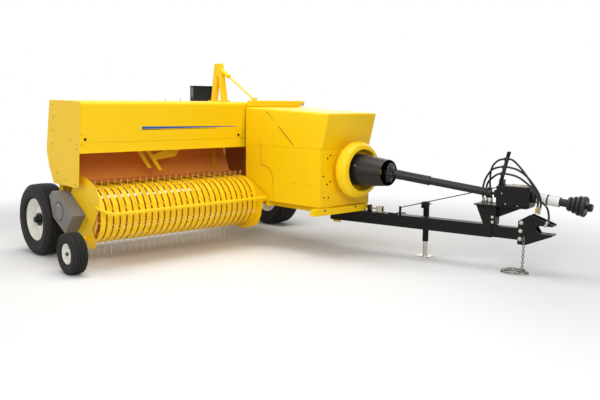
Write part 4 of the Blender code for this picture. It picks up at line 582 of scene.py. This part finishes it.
# Fasteners, each where its pixel of the photograph meets the node that holds it
PICTURE_FASTENERS = (
    # name, node, body, kind, size, finish, pixels
    ("front_wall_bolts", "hood_front_wall", "root", bolt, 0.0065, "black_paint",
     ((330.3, 155.4), (327.6, 158.5), (323.3, 176.6), (330.3, 181.5), (327.0, 184.5), (323.8, 197.8),
      (328.4, 197.5))),
    ("strip_bolts", "main_frame", "root", bolt, 0.008, "cast_iron", ((325.0, 210.8), (355.4, 206.6))),
    ("side_bolts", "right_door", "right_door", rivet, 0.006, "cast_iron", ((293.7, 183.1), (310.6, 184.8))),
    ("end_panel_rivets", "feeder_end_panel", "root", rivet, 0.007, "cast_iron",
     ((51.5, 104.5), (53.4, 116.4), (52.8, 130.0), (51.8, 143.7), (70.7, 140.3), (76.4, 144.4), (76.6, 149.6),
      (57.0, 172.6), (66.0, 179.5), (75.0, 185.0))),
    ("feeder_plugs", "feeder_shell", "root", rivet, 0.014, "shade", ((85.2, 139.6), (238.3, 134.8))),
    ("feeder_screws", "feeder_shell", "root", rivet, 0.005, "cast_iron",
     ((81.8, 134.6), (81.8, 145.0), (242.0, 137.8), (242.4, 131.8))),
    ("hitch_bolts", "hitch_jaws", "tongue", bolt, 0.0135, "zinc",
     ((521.2, 222.8), (520.3, 231.1), (519.6, 239.0))),
    ("stand_bolts", "drive_stand", "tongue", bolt, 0.010, "zinc", ((492.2, 217.2), (492.2, 222.2))),
    ("box_bolts", "bearing_box", "tongue", rivet, 0.006, "zinc",
     ((505.2, 204.2), (517.2, 206.4), (501.6, 193.6))),
    ("cone_screw", "drive_cone", "flywheel", bolt, 0.006, "zinc", ((354.5, 165.5),)),
    ("flare_bolts", "pickup_ends", "pickup", bolt, 0.009, "yellow_paint",
     ((92.6, 204.0), (96.0, 208.4), (88.2, 238.0), (91.0, 243.0))),
)


def make_picture_fasteners():
    """Bolts and rivets, each group one piece."""
    for name, node, body, kind, size, finish, pixels in PICTURE_FASTENERS:
        form = bmesh.new()
        for pixel in pixels:
            spot, normal = picture_seat(node, pixel)
            kind(form, spot, normal, size)
        piece(name, form, body, finish)


# Flat pieces whose corners are pixels of the photograph on the node that holds them. Paint and seams are
# PROUD thick, and every piece starts PLATE_LIFT off the surface.
PROUD = 0.0006
PLATE_LIFT = 0.0002
PICTURE_PLATES = (
    # name, node, body, thickness, finish, corner pixels
    ("feeder_stripe", "feeder_shell", "root", PROUD, "stripe_blue",
     ((142.0, 126.5), (190.0, 126.2), (236.0, 125.9), (236.0, 126.4), (190.0, 127.8), (142.0, 129.0))),
    ("feeder_pinstripe", "feeder_shell", "root", PROUD, "shade",
     ((142.0, 129.4), (216.0, 127.8), (216.0, 128.1), (142.0, 130.0))),
    ("feeder_post", "feeder_shell", "root", 0.010, "yellow_paint",
     ((210.2, 150.0), (215.8, 150.0), (213.9, 168.0), (211.9, 168.0))),
    ("shield_strip", "knotter_shield", "root", 0.003, "grey_paint",
     ((191.3, 87.6), (193.2, 87.6), (193.2, 97.0), (191.3, 97.0))),
    ("hood_seam_rear", "hood_rear", "root", PROUD, "shade",
     ((266.7, 112.2), (267.3, 112.2), (276.3, 123.3), (275.7, 123.3))),
    ("hood_seam_front", "hood_lid", "hood_lid", PROUD, "shade",
     ((278.0, 126.1), (278.6, 126.1), (293.6, 145.0), (292.9, 145.0))),
    ("hood_latch", "hood_rear", "root", 0.012, "yellow_paint",
     ((260.2, 139.0), (262.6, 139.0), (262.6, 144.0), (260.2, 144.0))),
    ("feeder_joint", "feeder_shell", "root", PROUD, "shade",
     ((239.3, 103.6), (239.7, 103.6), (240.1, 137.4), (239.7, 137.4))),
)


def make_picture_plates():
    """Stripes, seams and small plates, each on the mean of its corners' directions."""
    for name, node, body, thickness, finish, pixels in PICTURE_PLATES:
        form = bmesh.new()
        seats = [picture_seat(node, pixel) for pixel in pixels]
        way = sum((normal for _, normal in seats), Vector()).normalized()
        slab(form, [spot + way * PLATE_LIFT for spot, _ in seats], way, thickness)
        piece(name, form, body, finish)


# Wheels
WHEELS = (
    # body, x, y, outer radius, width, rim radius, ribs, groove depth
    ("right_wheel", 0.0, RIGHT_WHEEL_Y, 0.344, 0.241, 0.200, 6, 0.013),
    ("left_wheel", 0.0, 1.740, 0.363, 0.280, 0.200, 6, 0.013),
    ("gauge_wheel", 0.978, -1.352, 0.183, 0.138, 0.088, 5, 0.008),
)
WHEEL_STEPS = 72
TREAD_SHARP = 24.0
TYRE_WALL = (
    # metres beyond the rim, share of the tyre's height, share of half its width
    (0.002, 0.0, 0.72), (0.012, 0.0, 0.86), (0.0, 0.16, 0.93), (0.0, 0.18, 0.955), (0.0, 0.21, 0.955),
    (0.0, 0.23, 0.945), (0.0, 0.45, 0.99), (0.0, 0.62, 0.985), (0.0, 0.64, 0.998), (0.0, 0.67, 0.995),
    (0.0, 0.69, 0.975), (0.0, 0.85, 0.90), (0.0, 0.95, 0.80),
)
TYRE_LINER = ((0.002, 0.0, 0.55), (0.0, 0.76, 0.66))
# The ribs' share of half the width, their fall at the edges as a share of the tyre's height, and how far
# they stay inside the outer radius
CROWN_HALF = 0.76
CROWN_FALL = 0.035
CROWN_SKIN = 0.001
# A groove's share of the pitch, and where its floor lies between its edges
GROOVE_SHARE = 0.30
GROOVE_FLOOR = (0.3, 0.7)


def tread_profile(outer, width, rim, ribs, depth):
    """A closed tyre section with ribs around the tread and two fine rings on each wall."""
    half = width / 2
    tall = outer - rim
    wall, liner = [[(rim + beyond + tall * high, half * wide) for beyond, high, wide in shares]
                   for shares in (TYRE_WALL, TYRE_LINER)]
    crown = []
    edge = half * CROWN_HALF
    pitch = 2 * edge / ribs
    groove = pitch * GROOVE_SHARE
    for i in range(ribs):
        last = i == ribs - 1
        start = edge - i * pitch
        end = start - pitch + (0.0 if last else groove)
        for height in (start, end):
            fall = tall * CROWN_FALL * (height / edge) ** 2
            crown.append((outer - CROWN_SKIN - fall, height))
        if not last:
            crown += [(outer - depth - fall, end - groove * share) for share in GROOVE_FLOOR]
    far_wall = [(radius, -height) for radius, height in reversed(wall)]
    return wall + crown + far_wall + [(radius, -height) for radius, height in liner] + liner[::-1]


def outward(y):
    """The direction away from the machine's middle on a wheel's side."""
    return Vector((0, 1 if y > 0 else -1, 0))


def make_wheels():
    """Grooved tyres in place of the plain ones, with the small parts of each wheel."""
    for body, x, y, outer, width, rim, ribs, depth in WHEELS:
        out = outward(y)
        centre = place(x, y, outer)
        form = bmesh.new()
        lathe(form, tread_profile(outer, width, rim, ribs, depth), centre, out, WHEEL_STEPS, closed=True)
        tyre = piece(body + "_tread", form, body, "tyre_rubber", TREAD_SHARP)
        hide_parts(body + "_tyre")
        make_valve(body, centre, rim, out)
    for body, x, y, outer, *_ in WHEELS[:2]:
        make_lugs(body, place(x, y, outer), outward(y))
    make_gauge_cap()


# How far outside a wheel the search for a seat starts
LOOK_FROM = 0.4
VALVE = ((0.0, 0.030), (0.004, 0.029), (0.0045, 0.020), (0.0032, 0.018), (0.004, 0.0))
VALVE_TURN = 0.9
# A share of the rim's radius
VALVE_REACH = 0.78
VALVE_LEAN = 0.25


def make_valve(body, centre, rim, out):
    """A valve stem with its cap, through the rim's disc."""
    form = bmesh.new()
    side = Vector((cos(VALVE_TURN), 0.0, sin(VALVE_TURN))) * rim * VALVE_REACH
    spot, _ = seat(body + "_rim", centre + side + out * LOOK_FROM, -out)
    lathe(form, VALVE, spot, out + side.normalized() * VALVE_LEAN, steps=12)
    piece(body + "_valve", form, body, "black_plastic")


LUG_RING = 0.052
LUG_COUNT = 6
LUG_TURN = 0.3
LUG_SIZE = 0.0065


def make_lugs(body, centre, out):
    """The wheel bolts around the hub."""
    form = bmesh.new()
    for i in range(LUG_COUNT):
        turn = 2 * pi * i / LUG_COUNT + LUG_TURN
        side = Vector((cos(turn) * LUG_RING, 0.0, sin(turn) * LUG_RING))
        spot, normal = seat(body + "_hub", centre + side + out * LOOK_FROM, -out)
        bolt(form, spot, normal, LUG_SIZE)
    piece(body + "_bolts", form, body, "cast_iron")


GAUGE_CAP = ((0.0, 0.020), (0.012, 0.020), (0.017, 0.014), (0.017, 0.0))
# How far beside the axle the rim's face is looked for
GAUGE_CAP_BESIDE = 0.024


def make_gauge_cap():
    """The cap over the gauge wheel's bearing, seated as far out as the rim beside it."""
    _, x, y, outer, *_ = WHEELS[2]
    form = bmesh.new()
    beside = place(x + GAUGE_CAP_BESIDE, y - LOOK_FROM, outer)
    spot, normal = seat("gauge_wheel_rim", beside, Vector((0, 1, 0)))
    centre = place(x, y, outer)
    centre.y = spot.y
    lathe(form, GAUGE_CAP, centre, normal, steps=20)
    piece("gauge_hub_cap", form, "gauge_wheel", "cast_iron")


# Drive
SHIELD_COVER = (0.496, 0.480)
SHIELD_COVER_R = 0.084
COVER_FACE = 0.0015
COVER_RIM = (
    # back from the cover's radius, height
    (0.006, COVER_FACE), (0.004, 0.0), (0.003, 0.003), (0.0, 0.003), (0.0, 0.0),
)
COVER_STEPS = 48
COVER_GAP_WIDTH = 0.006
COVER_GAP_HEIGHT = 0.0012
COVER_GROOVE = (0.0045, 0.0035)
COVER_SCREW_SHARE = 0.66
OUTSIDE_Y = -2.0
COVER_SCREW = 0.006


def make_shield_cover():
    """The round cover in the drive shield's face, with its rim, its screw and the dark gap around it."""
    outside = place(SHIELD_COVER[0], OUTSIDE_Y, SHIELD_COVER[1])
    spot, normal = seat("drive_shield", outside, Vector((0, 1, 0)))
    r = SHIELD_COVER_R
    form = bmesh.new()
    profile = [(0.0, COVER_FACE)] + [(r - back, height) for back, height in COVER_RIM]
    lathe(form, profile, spot, normal, COVER_STEPS)
    piece("shield_cover", form, "pickup", "grey_paint")
    form = bmesh.new()
    bolt(form, spot + Vector((0, -COVER_FACE, r * COVER_SCREW_SHARE)), normal, COVER_SCREW)
    piece("shield_screw", form, "pickup", "zinc")
    form = bmesh.new()
    out = r + COVER_GAP_WIDTH
    gap = [(r, 0.0), (r, COVER_GAP_HEIGHT), (out, COVER_GAP_HEIGHT), (out, 0.0)]
    lathe(form, gap, spot, normal, COVER_STEPS)
    lathe(form, [(r - back, COVER_GAP_HEIGHT) for back in COVER_GROOVE], spot, normal, COVER_STEPS)
    piece("shield_gap", form, "pickup", "shade")


DRIVE_REAR = (2.400, 1.080, 0.848)
DRIVE_FRONT = (1.669, 0.0, 0.692)
# Profiles along the shaft from the rear joint's centre: radius, distance
JOINT_FLANGE = ((0.041, 0.058), (0.062, 0.052), (0.086, 0.030), (0.094, 0.012), (0.090, 0.002),
                (0.041, 0.004))
REAR_SLEEVE = ((0.0378, 0.080), (0.0440, 0.082), (0.0440, 0.140), (0.0425, 0.144), (0.0425, 0.378),
               (0.0445, 0.380), (0.0445, 0.398), (0.0378, 0.400))
JOINT_LOBE = ((0.0, 0.016), (0.011, 0.014), (0.016, 0.005), (0.016, -0.012))
JOINT_LOBES = 8
LOBE_RING = 0.072
LOBE_DISTANCE = 0.036
LOBE_RIVET_DISTANCE = 0.0515
LOBE_RIVET = 0.0055


def make_drive_joint():
    """The lobed end of the shaft's guard inside the cone's small end, and the guard's wide rear sleeve."""
    rear = place(*DRIVE_REAR)
    way = (on_tongue(*DRIVE_FRONT) - rear).normalized()
    form = bmesh.new()
    lathe(form, JOINT_FLANGE, rear, way, steps=40, closed=True)
    for spot in ring_places(rear, way, LOBE_RING, LOBE_DISTANCE, JOINT_LOBES):
        lathe(form, JOINT_LOBE, spot, way, steps=14)
    lathe(form, REAR_SLEEVE, rear, way, steps=36, closed=True)
    piece("joint_guard", form, "driveline_rear", "black_plastic")
    form = bmesh.new()
    for spot in ring_places(rear, way, LOBE_RING, LOBE_RIVET_DISTANCE, JOINT_LOBES):
        rivet(form, spot, way, LOBE_RIVET)
    piece("joint_rivets", form, "driveline_rear", "zinc")


# Profiles along the front shaft: radius, distance
SLEEVES = (
    ((0.0423, 0.044), (0.0455, 0.045), (0.0455, 0.127), (0.0423, 0.128)),
    ((0.0423, 0.140), (0.0455, 0.141), (0.0455, 0.235), (0.0423, 0.236)),
)
STRAPS = (
    ((0.0423, 0.129), (0.0475, 0.130), (0.0475, 0.138), (0.0423, 0.139)),
    ((0.0423, 0.0395), (0.0520, 0.0405), (0.0520, 0.0430), (0.0423, 0.0435)),
)
BELL = (
    (0.0400, 0.300), (0.0560, 0.304), (0.0620, 0.316), (0.0620, 0.328), (0.0540, 0.335), (0.0660, 0.344),
    (0.0730, 0.356), (0.0730, 0.366), (0.0640, 0.373), (0.0770, 0.382), (0.0850, 0.395), (0.0850, 0.404),
    (0.0740, 0.411), (0.0840, 0.420), (0.0880, 0.432), (0.0860, 0.450), (0.0800, 0.456), (0.0705, 0.455),
    (0.0700, 0.425), (0.0620, 0.395), (0.0560, 0.370), (0.0485, 0.345), (0.0455, 0.320),
)


def make_front_shaft():
    """Two white sleeves over the front shaft's guard, the straps beside them, and the ribbed bell."""
    origin = on_tongue(*SHAFT_PLACE)
    way = (on_tongue(SHAFT_PLACE[0] + 1.0, 0.0, SHAFT_PLACE[2] - SHAFT_FALL) - origin).normalized()
    form = bmesh.new()
    for sleeve in SLEEVES:
        lathe(form, sleeve, origin, way, steps=32)
    piece("shaft_sleeves", form, "tongue", "white_sleeve")
    form = bmesh.new()
    for strap in STRAPS:
        lathe(form, strap, origin, way, steps=32)
    lathe(form, BELL, origin, way, steps=40, closed=True)
    piece("shaft_straps", form, "tongue", "black_plastic")


BACK_X = 0.4056
BACK_YS = (-1.1125, 0.6395)
BACK_Z = (0.180, 0.545)
BACK_SHEET = 0.004
BACK_LIP = 0.014


def make_pickup_back():
    """The sheet behind the reel, against the pickup's low beam and stiffeners, with a lip along its top."""
    low, high = BACK_Z
    front = BACK_X + BACK_SHEET / 2
    rear = BACK_X - BACK_SHEET / 2
    section = [(rear, low), (front, low), (front, high), (rear - BACK_LIP, high),
               (rear - BACK_LIP, high - BACK_SHEET), (rear, high - BACK_SHEET)]
    form = bmesh.new()
    slab(form, [place(x, BACK_YS[0], z) for x, z in section], (0, 1, 0), BACK_YS[1] - BACK_YS[0])
    # Its front face is painted deep orange as bounce light and shade
    piece("pickup_back", form, "pickup", "back_bounce_shade")


BOX_TOP = 0.775
BOX_COVER_U = (1.792, 1.988)
BOX_COVER_HALF = 0.078
BOX_COVER_THICK = 0.006
BOX_COVER_EDGE = 0.002
BOX_SCREW_INSET = 0.012
BOX_SCREW = 0.006


def make_box_cover():
    """The pale cover on the bearing box, with four screws at its corners."""
    u_low, u_high = BOX_COVER_U
    half = BOX_COVER_HALF
    top = BOX_TOP + BOX_COVER_THICK
    form = bmesh.new()
    tongue_block(form, (u_low, -half, BOX_TOP), (u_high, half, top), BOX_COVER_EDGE)
    piece("box_cover", form, "tongue", "tan_cover")
    form = bmesh.new()
    for u in (u_low + BOX_SCREW_INSET, u_high - BOX_SCREW_INSET):
        for v in (BOX_SCREW_INSET - half, half - BOX_SCREW_INSET):
            bolt(form, on_tongue(u, v, top), (0, 0, 1), BOX_SCREW)
    piece("cover_screws", form, "tongue", "zinc")


# Tongue fittings
BEAM_TOP = 0.415
BEAM_PLACE = (0.0, 0.0, BEAM_TOP)
# Blocks as low and high corners, and points, with z counted from the top of the beam
CLEVIS_BLOCKS = (
    ((0.470, -0.034, 0.0), (0.530, -0.024, 0.062)),
    ((0.470, 0.016, 0.0), (0.530, 0.026, 0.062)),
    ((0.464, -0.038, 0.0), (0.536, 0.030, 0.008)),
)
CLEVIS_PIN_START = (0.500, -0.044, 0.044)
# Radius, distance across the tongue from the pin's start
CLEVIS_PIN = ((0.0, 0.0), (0.013, 0.001), (0.013, 0.007), (0.008, 0.008), (0.008, 0.082), (0.0, 0.082))
CLEVIS_ROD = ((0.392, -0.004, 0.034), (0.490, -0.004, 0.034))
CLEVIS_ROD_R = 0.009
LEVER_BLOCKS = (
    ((0.372, -0.036, 0.0), (0.394, 0.028, 0.066)),
    ((0.490, -0.020, 0.008), (0.520, 0.014, 0.056)),
    ((0.600, -0.030, 0.0), (0.700, -0.008, 0.010)),
)
LEVER_ROD = ((0.690, -0.019, 0.010), (0.720, -0.019, 0.018), (0.790, -0.019, 0.020))
LEVER_ROD_R = 0.006


def on_beam(u, v, above):
    """A place in the tongue's frame, its height counted from the top of the beam."""
    return on_tongue(u, v, BEAM_TOP + above)


def make_latch():
    """The swing latch: a zinc clevis with its pin and rod, and black stops with a lever."""
    form = bmesh.new()
    tongue_blocks(form, CLEVIS_BLOCKS, BEAM_PLACE)
    across = on_tongue(0, 1, 0) - on_tongue(0, 0, 0)
    lathe(form, CLEVIS_PIN, on_beam(*CLEVIS_PIN_START), across, steps=18)
    tube(form, [on_beam(*point) for point in CLEVIS_ROD], CLEVIS_ROD_R, sides=12)
    piece("latch_clevis", form, "tongue", "zinc")
    form = bmesh.new()
    tongue_blocks(form, LEVER_BLOCKS, BEAM_PLACE)
    tube(form, [on_beam(*point) for point in LEVER_ROD], LEVER_ROD_R, sides=10)
    piece("latch_lever", form, "tongue", "black_paint")


ROD_POST = (
    # low and high corner, with z counted from the top of the beam
    ((0.728, -0.046, 0.0), (0.752, -0.036, 0.086)),
)
ROD_START = (0.740, -0.040, 0.488)
ROD_END = (1.699, -0.062, 0.756)
ROD_R = 0.0045


def make_rod():
    """The thin rod from a post on the beam up to the bearing box."""
    form = bmesh.new()
    tongue_blocks(form, ROD_POST, BEAM_PLACE)
    tube(form, [on_tongue(*ROD_START), on_tongue(*ROD_END)], ROD_R, sides=10)
    piece("support_rod", form, "tongue", "black_paint")


JACK_PLACE = (0.916, 0.167, 0.510)
JACK_CAP = ((0.0, 0.030), (0.022, 0.030), (0.030, 0.024), (0.034, 0.010), (0.034, 0.0))
JACK_BLOCKS = (
    # low and high corners, counted from the top of the jack's tube
    ((-0.040, -0.036, -0.034), (0.040, -0.030, 0.024)),
    ((-0.040, -0.033, 0.004), (0.040, 0.018, 0.026)),
)
JACK_PIN_REACH = 0.040
JACK_PIN_HEIGHT = 0.015
JACK_PIN = 0.011


def make_jack_head():
    """The cap and clamp at the top of the jack's tube, with a pin at each end."""
    u, v, top = JACK_PLACE
    form = bmesh.new()
    lathe(form, JACK_CAP, on_tongue(u, v, top), (0, 0, 1), steps=28)
    tongue_blocks(form, JACK_BLOCKS, JACK_PLACE)
    piece("jack_head", form, "tongue", "black_paint")
    form = bmesh.new()
    for end in (-1, 1):
        spot = on_tongue(u + end * JACK_PIN_REACH, v, top + JACK_PIN_HEIGHT)
        bolt(form, spot, on_tongue(u + end, v, 0) - on_tongue(u, v, 0), JACK_PIN)
    piece("jack_pins", form, "tongue", "zinc")


# Hoses: the same routes as the part's
SHELF_Z = 0.5996
HOSE_ROUTES = (
    ((1.600, 0.080, SHELF_Z), (1.600, 0.080, 0.640), (1.590, 0.080, 0.710), (1.578, 0.080, 0.784),
     (1.595, 0.062, 0.910), (1.655, 0.024, 0.978), (1.722, -0.020, 1.004), (1.775, -0.024, 1.008),
     (1.829, -0.032, 0.995), (1.928, -0.054, 0.906), (2.033, -0.085, 0.778), (2.092, -0.095, 0.681),
     (2.155, -0.095, 0.618), (2.173, -0.085, 0.532), (2.158, -0.078, 0.490)),
    ((1.520, 0.090, SHELF_Z), (1.520, 0.090, 0.625), (1.508, 0.090, 0.690), (1.528, 0.085, 0.798),
     (1.600, 0.044, 0.894), (1.664, 0.008, 0.924), (1.712, -0.020, 0.935), (1.765, -0.024, 0.938),
     (1.871, -0.042, 0.919), (1.972, -0.070, 0.859), (2.070, -0.090, 0.747), (2.103, -0.100, 0.665),
     (2.098, -0.100, 0.604)),
    ((1.552, 0.104, SHELF_Z), (1.552, 0.104, 0.625), (1.536, 0.102, 0.690), (1.556, 0.088, 0.778),
     (1.625, 0.044, 0.838), (1.668, 0.008, 0.862), (1.699, -0.020, 0.873), (1.755, -0.025, 0.878),
     (1.881, -0.062, 0.860), (2.001, -0.100, 0.794), (2.069, -0.120, 0.732), (2.087, -0.126, 0.665),
     (2.082, -0.126, 0.613)),
)
ROUTE_PARTS = 4


def make_hoses():
    """Three hoses with their couplers."""
    for number, points in enumerate(HOSE_ROUTES, 1):
        route = [on_tongue(*point) for point in [points[0]] + smooth_route(points[1:], ROUTE_PARTS)]
        curve = bpy.data.curves.new(f"hose_{number}", "CURVE")
        curve.dimensions = "3D"
        curve.bevel_depth = HOSE_R
        curve.bevel_resolution = 4
        curve.use_fill_caps = True
        spline = curve.splines.new("POLY")
        spline.points.add(len(route) - 1)
        for point, spot in zip(spline.points, route):
            point.co = (*spot, 1.0)
        curve.materials.append(FINISHES["black_plastic"])
        hose = bpy.data.objects.new(f"hose_{number}", curve)
        bpy.context.scene.collection.objects.link(hose)
        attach(hose, "tongue")
        coupler = make_coupler(number, route[-1], (route[-1] - route[-2]).normalized())
        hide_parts("hoses")


# Profiles of a coupler from the hose's end: radius, distance
COUPLER_CUFF = ((0.0095, -0.012), (0.0125, -0.010), (0.0125, 0.006), (0.0100, 0.008), (0.0, 0.008))
COUPLER_HEX = ((0.0, 0.006), (0.0130, 0.007), (0.0130, 0.020), (0.0, 0.021))
COUPLER_RING = ((0.0, 0.0), (0.0128, 0.0005), (0.0128, 0.0035), (0.0112, 0.005), (0.0, 0.005))
COUPLER_PLUG = ((0.0, 0.040), (0.0085, 0.041), (0.0085, 0.049), (0.0, 0.050))
RING_DISTANCES = (0.021, 0.026, 0.031, 0.036)
BRASS_COUPLER = 3


def make_coupler(number, end, way):
    """A coupler with a cuff, a hex, four gripping rings and a plug at a hose's end."""
    form = bmesh.new()
    lathe(form, COUPLER_CUFF, end, way, steps=20)
    lathe(form, COUPLER_HEX, end, way, steps=6)
    for distance in RING_DISTANCES:
        lathe(form, COUPLER_RING, end + way * distance, way, steps=20)
    lathe(form, COUPLER_PLUG, end, way, steps=20)
    return piece(f"coupler_{number}", form, "tongue", "brass" if number == BRASS_COUPLER else "zinc")


HOSE_NUT = ((0.0095, 0.0), (0.0165, 0.001), (0.0165, 0.014), (0.0095, 0.015))
HOSE_FERRULE = ((0.0095, 0.016), (0.0135, 0.017), (0.0135, 0.034), (0.0095, 0.036))


def make_hose_nuts():
    """A hex nut and a ferrule where each hose leaves the shelf."""
    form = bmesh.new()
    for points in HOSE_ROUTES:
        foot = on_tongue(*points[0])
        lathe(form, HOSE_NUT, foot, (0, 0, 1), steps=6)
        lathe(form, HOSE_FERRULE, foot, (0, 0, 1), steps=18)
    piece("hose_nuts", form, "tongue", "zinc")


MAST_U = (1.704, 1.773)
MAST_Z = (0.775, 1.073)
MAST_HALF_THICK = 0.006
CLAMP_Z = (0.860, 1.024)
CLAMP_HALF = 0.013
CLAMP_THICK = 0.005
CLAMP_CRESTS = (1.008, 0.938, 0.877)
CLAMP_BLOCKS = (
    # low and high corner, counted from the mast's middle at a hose's crest
    ((-0.016, -0.036, -0.018), (0.016, -0.011, 0.014)),
)


def mast_u(z):
    """The hose mast's middle at a height: it leans forward."""
    return MAST_U[0] + (MAST_U[1] - MAST_U[0]) * (z - MAST_Z[0]) / (MAST_Z[1] - MAST_Z[0])


def make_hose_clamps():
    """The clamp strip on the hose mast, with a block at each hose's crest."""
    form = bmesh.new()
    side = on_tongue(0, -1, 0) - on_tongue(0, 0, 0)
    low, high = CLAMP_Z
    ends = ((low, -CLAMP_HALF), (low, CLAMP_HALF), (high, CLAMP_HALF), (high, -CLAMP_HALF))
    slab(form, [on_tongue(mast_u(z) + half, -MAST_HALF_THICK, z) for z, half in ends], side, CLAMP_THICK)
    for crest in CLAMP_CRESTS:
        tongue_blocks(form, CLAMP_BLOCKS, (mast_u(crest), 0.0, crest))
    piece("hose_clamps", form, "tongue", "black_plastic")


# Chain
CHAIN_POINTS = (
    (1.960, -0.0651, 0.330), (1.962, -0.0680, 0.220), (1.960, -0.078, 0.060), (1.935, -0.080, 0.022),
    (1.850, -0.085, 0.0125), (1.770, -0.050, 0.0125), (1.765, 0.010, 0.0125), (1.830, 0.050, 0.0125),
    (1.930, 0.055, 0.0125), (1.990, 0.000, 0.0125), (1.960, -0.050, 0.026), (1.880, -0.060, 0.028),
    (1.800, -0.020, 0.028), (1.840, 0.030, 0.028), (1.930, 0.020, 0.030), (1.950, -0.020, 0.040),
    (1.880, -0.030, 0.042),
)
CHAIN_PARTS = 12
LINK_PITCH = 0.0235
LINK_WIRE = 0.0036
LINK_HALF = (0.0150, 0.0095)
LINK_STEPS = 5
LINK_TURN = radians(45)
# The upward share of a direction from which a link is laid out by Y instead of Z
STEEP = 0.9


def link_path(centre, along, flat):
    """The middle line of one link: two straights and two half circles."""
    reach, wide = LINK_HALF
    run = reach - wide
    side = flat.normalized()
    points = []
    for end, start in ((1, -pi / 2), (-1, pi / 2)):
        for i in range(LINK_STEPS + 1):
            turn = start + pi * i / LINK_STEPS
            points.append(centre + along * (end * run + wide * cos(turn)) + side * wide * sin(turn))
    return points


def make_chain():
    """The safety chain, link by link along its route, each turned a quarter from the last."""
    route = [on_tongue(*point) for point in smooth_route(CHAIN_POINTS, CHAIN_PARTS)]
    form = bmesh.new()
    walked = 0.0
    target = 0.0
    tilt = -LINK_TURN
    for start, end in zip(route, route[1:]):
        step = (end - start).length
        while target <= walked + step:
            spot = start.lerp(end, (target - walked) / step)
            along = (end - start).normalized()
            level = along.cross(Vector((0, 0, 1)) if abs(along.z) < STEEP else Vector((0, 1, 0)))
            level.normalize()
            upward = level.cross(along).normalized()
            flat = level * cos(tilt) + upward * sin(tilt)
            tube(form, link_path(spot, along, flat), LINK_WIRE, sides=6, closed=True)
            tilt = -tilt
            target += LINK_PITCH
        walked += step
    chain = piece("chain_links", form, "tongue", "chain_steel")
    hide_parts("safety_chain")


# Springs on the bale tension cranks
SPRING_X = -1.050
SPRING_YS = (0.970, 1.190)
SPRING_Z = (1.133, 1.311)
SPRING_R = 0.0265
SPRING_WIRE = 0.0042
SPRING_TURNS = 9
TURN_STEPS = 16


def make_springs():
    """A coil spring around each tension crank."""
    form = bmesh.new()
    low, high = SPRING_Z
    steps = SPRING_TURNS * TURN_STEPS
    turns = [2 * pi * i / TURN_STEPS for i in range(steps + 1)]
    heights = [low + (high - low) * i / steps for i in range(steps + 1)]
    for y in SPRING_YS:
        coil = [place(SPRING_X + SPRING_R * cos(turn), y + SPRING_R * sin(turn), height)
                for turn, height in zip(turns, heights)]
        tube(form, coil, SPRING_WIRE, sides=6)
    piece("tension_springs", form, "root", "cast_iron")


# Rows of bolts along the folded seams of the chamber and the feeder's rear
BOLT_ROWS = (
    # name, node, start, end, looking way, count, finish
    ("chamber_left_bolts", "chamber_left_wall", (-0.250, 2.0, 0.590), (0.950, 2.0, 0.590), (0, -1, 0), 9,
     "cast_iron"),
    ("chamber_top_bolts", "chamber_top", (-0.180, 1.240, 2.0), (0.700, 1.240, 2.0), (0, 0, -1), 7,
     "cast_iron"),
    ("rear_panel_bolts", "feeder_shell", (-2.0, -1.080, 1.380), (-2.0, 0.640, 1.380), (1, 0, 0), 9,
     "yellow_paint"),
)
ROW_BOLT = 0.0065


def make_bolt_rows():
    """Each row as one piece, its bolts evenly spaced and seated on the node."""
    for name, node, start, end, way, count, finish in BOLT_ROWS:
        form = bmesh.new()
        for i in range(count):
            spot = place(*start).lerp(place(*end), i / (count - 1))
            at, normal = seat(node, spot, Vector(way))
            bolt(form, at, normal, ROW_BOLT)
        piece(name, form, "root", finish)


KNOB_PLACE = (0.868, 1.420, 1.470)
KNOB_CAP = ((0.0, 0.010), (0.018, 0.009), (0.027, 0.003), (0.0295, -0.004), (0.0295, -0.018),
            (0.0282, -0.018))


def make_knob_cap():
    """The zinc cap on the top beam's knob."""
    form = bmesh.new()
    lathe(form, KNOB_CAP, place(*KNOB_PLACE), (0, 1, 0), steps=28)
    piece("knob_cap", form, "root", "zinc")


MAST_PIN_X = 0.197
MAST_PIN_ZS = (1.868, 1.836, 1.795)
MAST_PIN = 0.010
MAST_LOOKS = (
    # the Y that the search for a seat starts from, and its way along Y
    (-0.5, 1), (2.0, -1),
)


def make_mast_pins():
    """The pins across the top of the mast."""
    form = bmesh.new()
    for z in MAST_PIN_ZS:
        for start, way in MAST_LOOKS:
            spot, normal = seat("stay_mast", place(MAST_PIN_X, start, z), Vector((0, way, 0)))
            bolt(form, spot, normal, MAST_PIN)
    piece("mast_pins", form, "root", "yellow_paint")


bpy.context.scene.view_settings.view_transform = "Standard"
make_camera()
make_hoses()
make_hose_nuts()
make_hose_clamps()
make_light()
make_floor()
paint_nodes()
paint_bounce_shade()
paint_reel()
make_picture_fasteners()
make_picture_plates()
make_wheels()
make_shield_cover()
make_drive_joint()
make_front_shaft()
make_pickup_back()
make_box_cover()
make_latch()
make_rod()
make_jack_head()
make_chain()
make_springs()
make_bolt_rows()
make_knob_cap()
make_mast_pins()
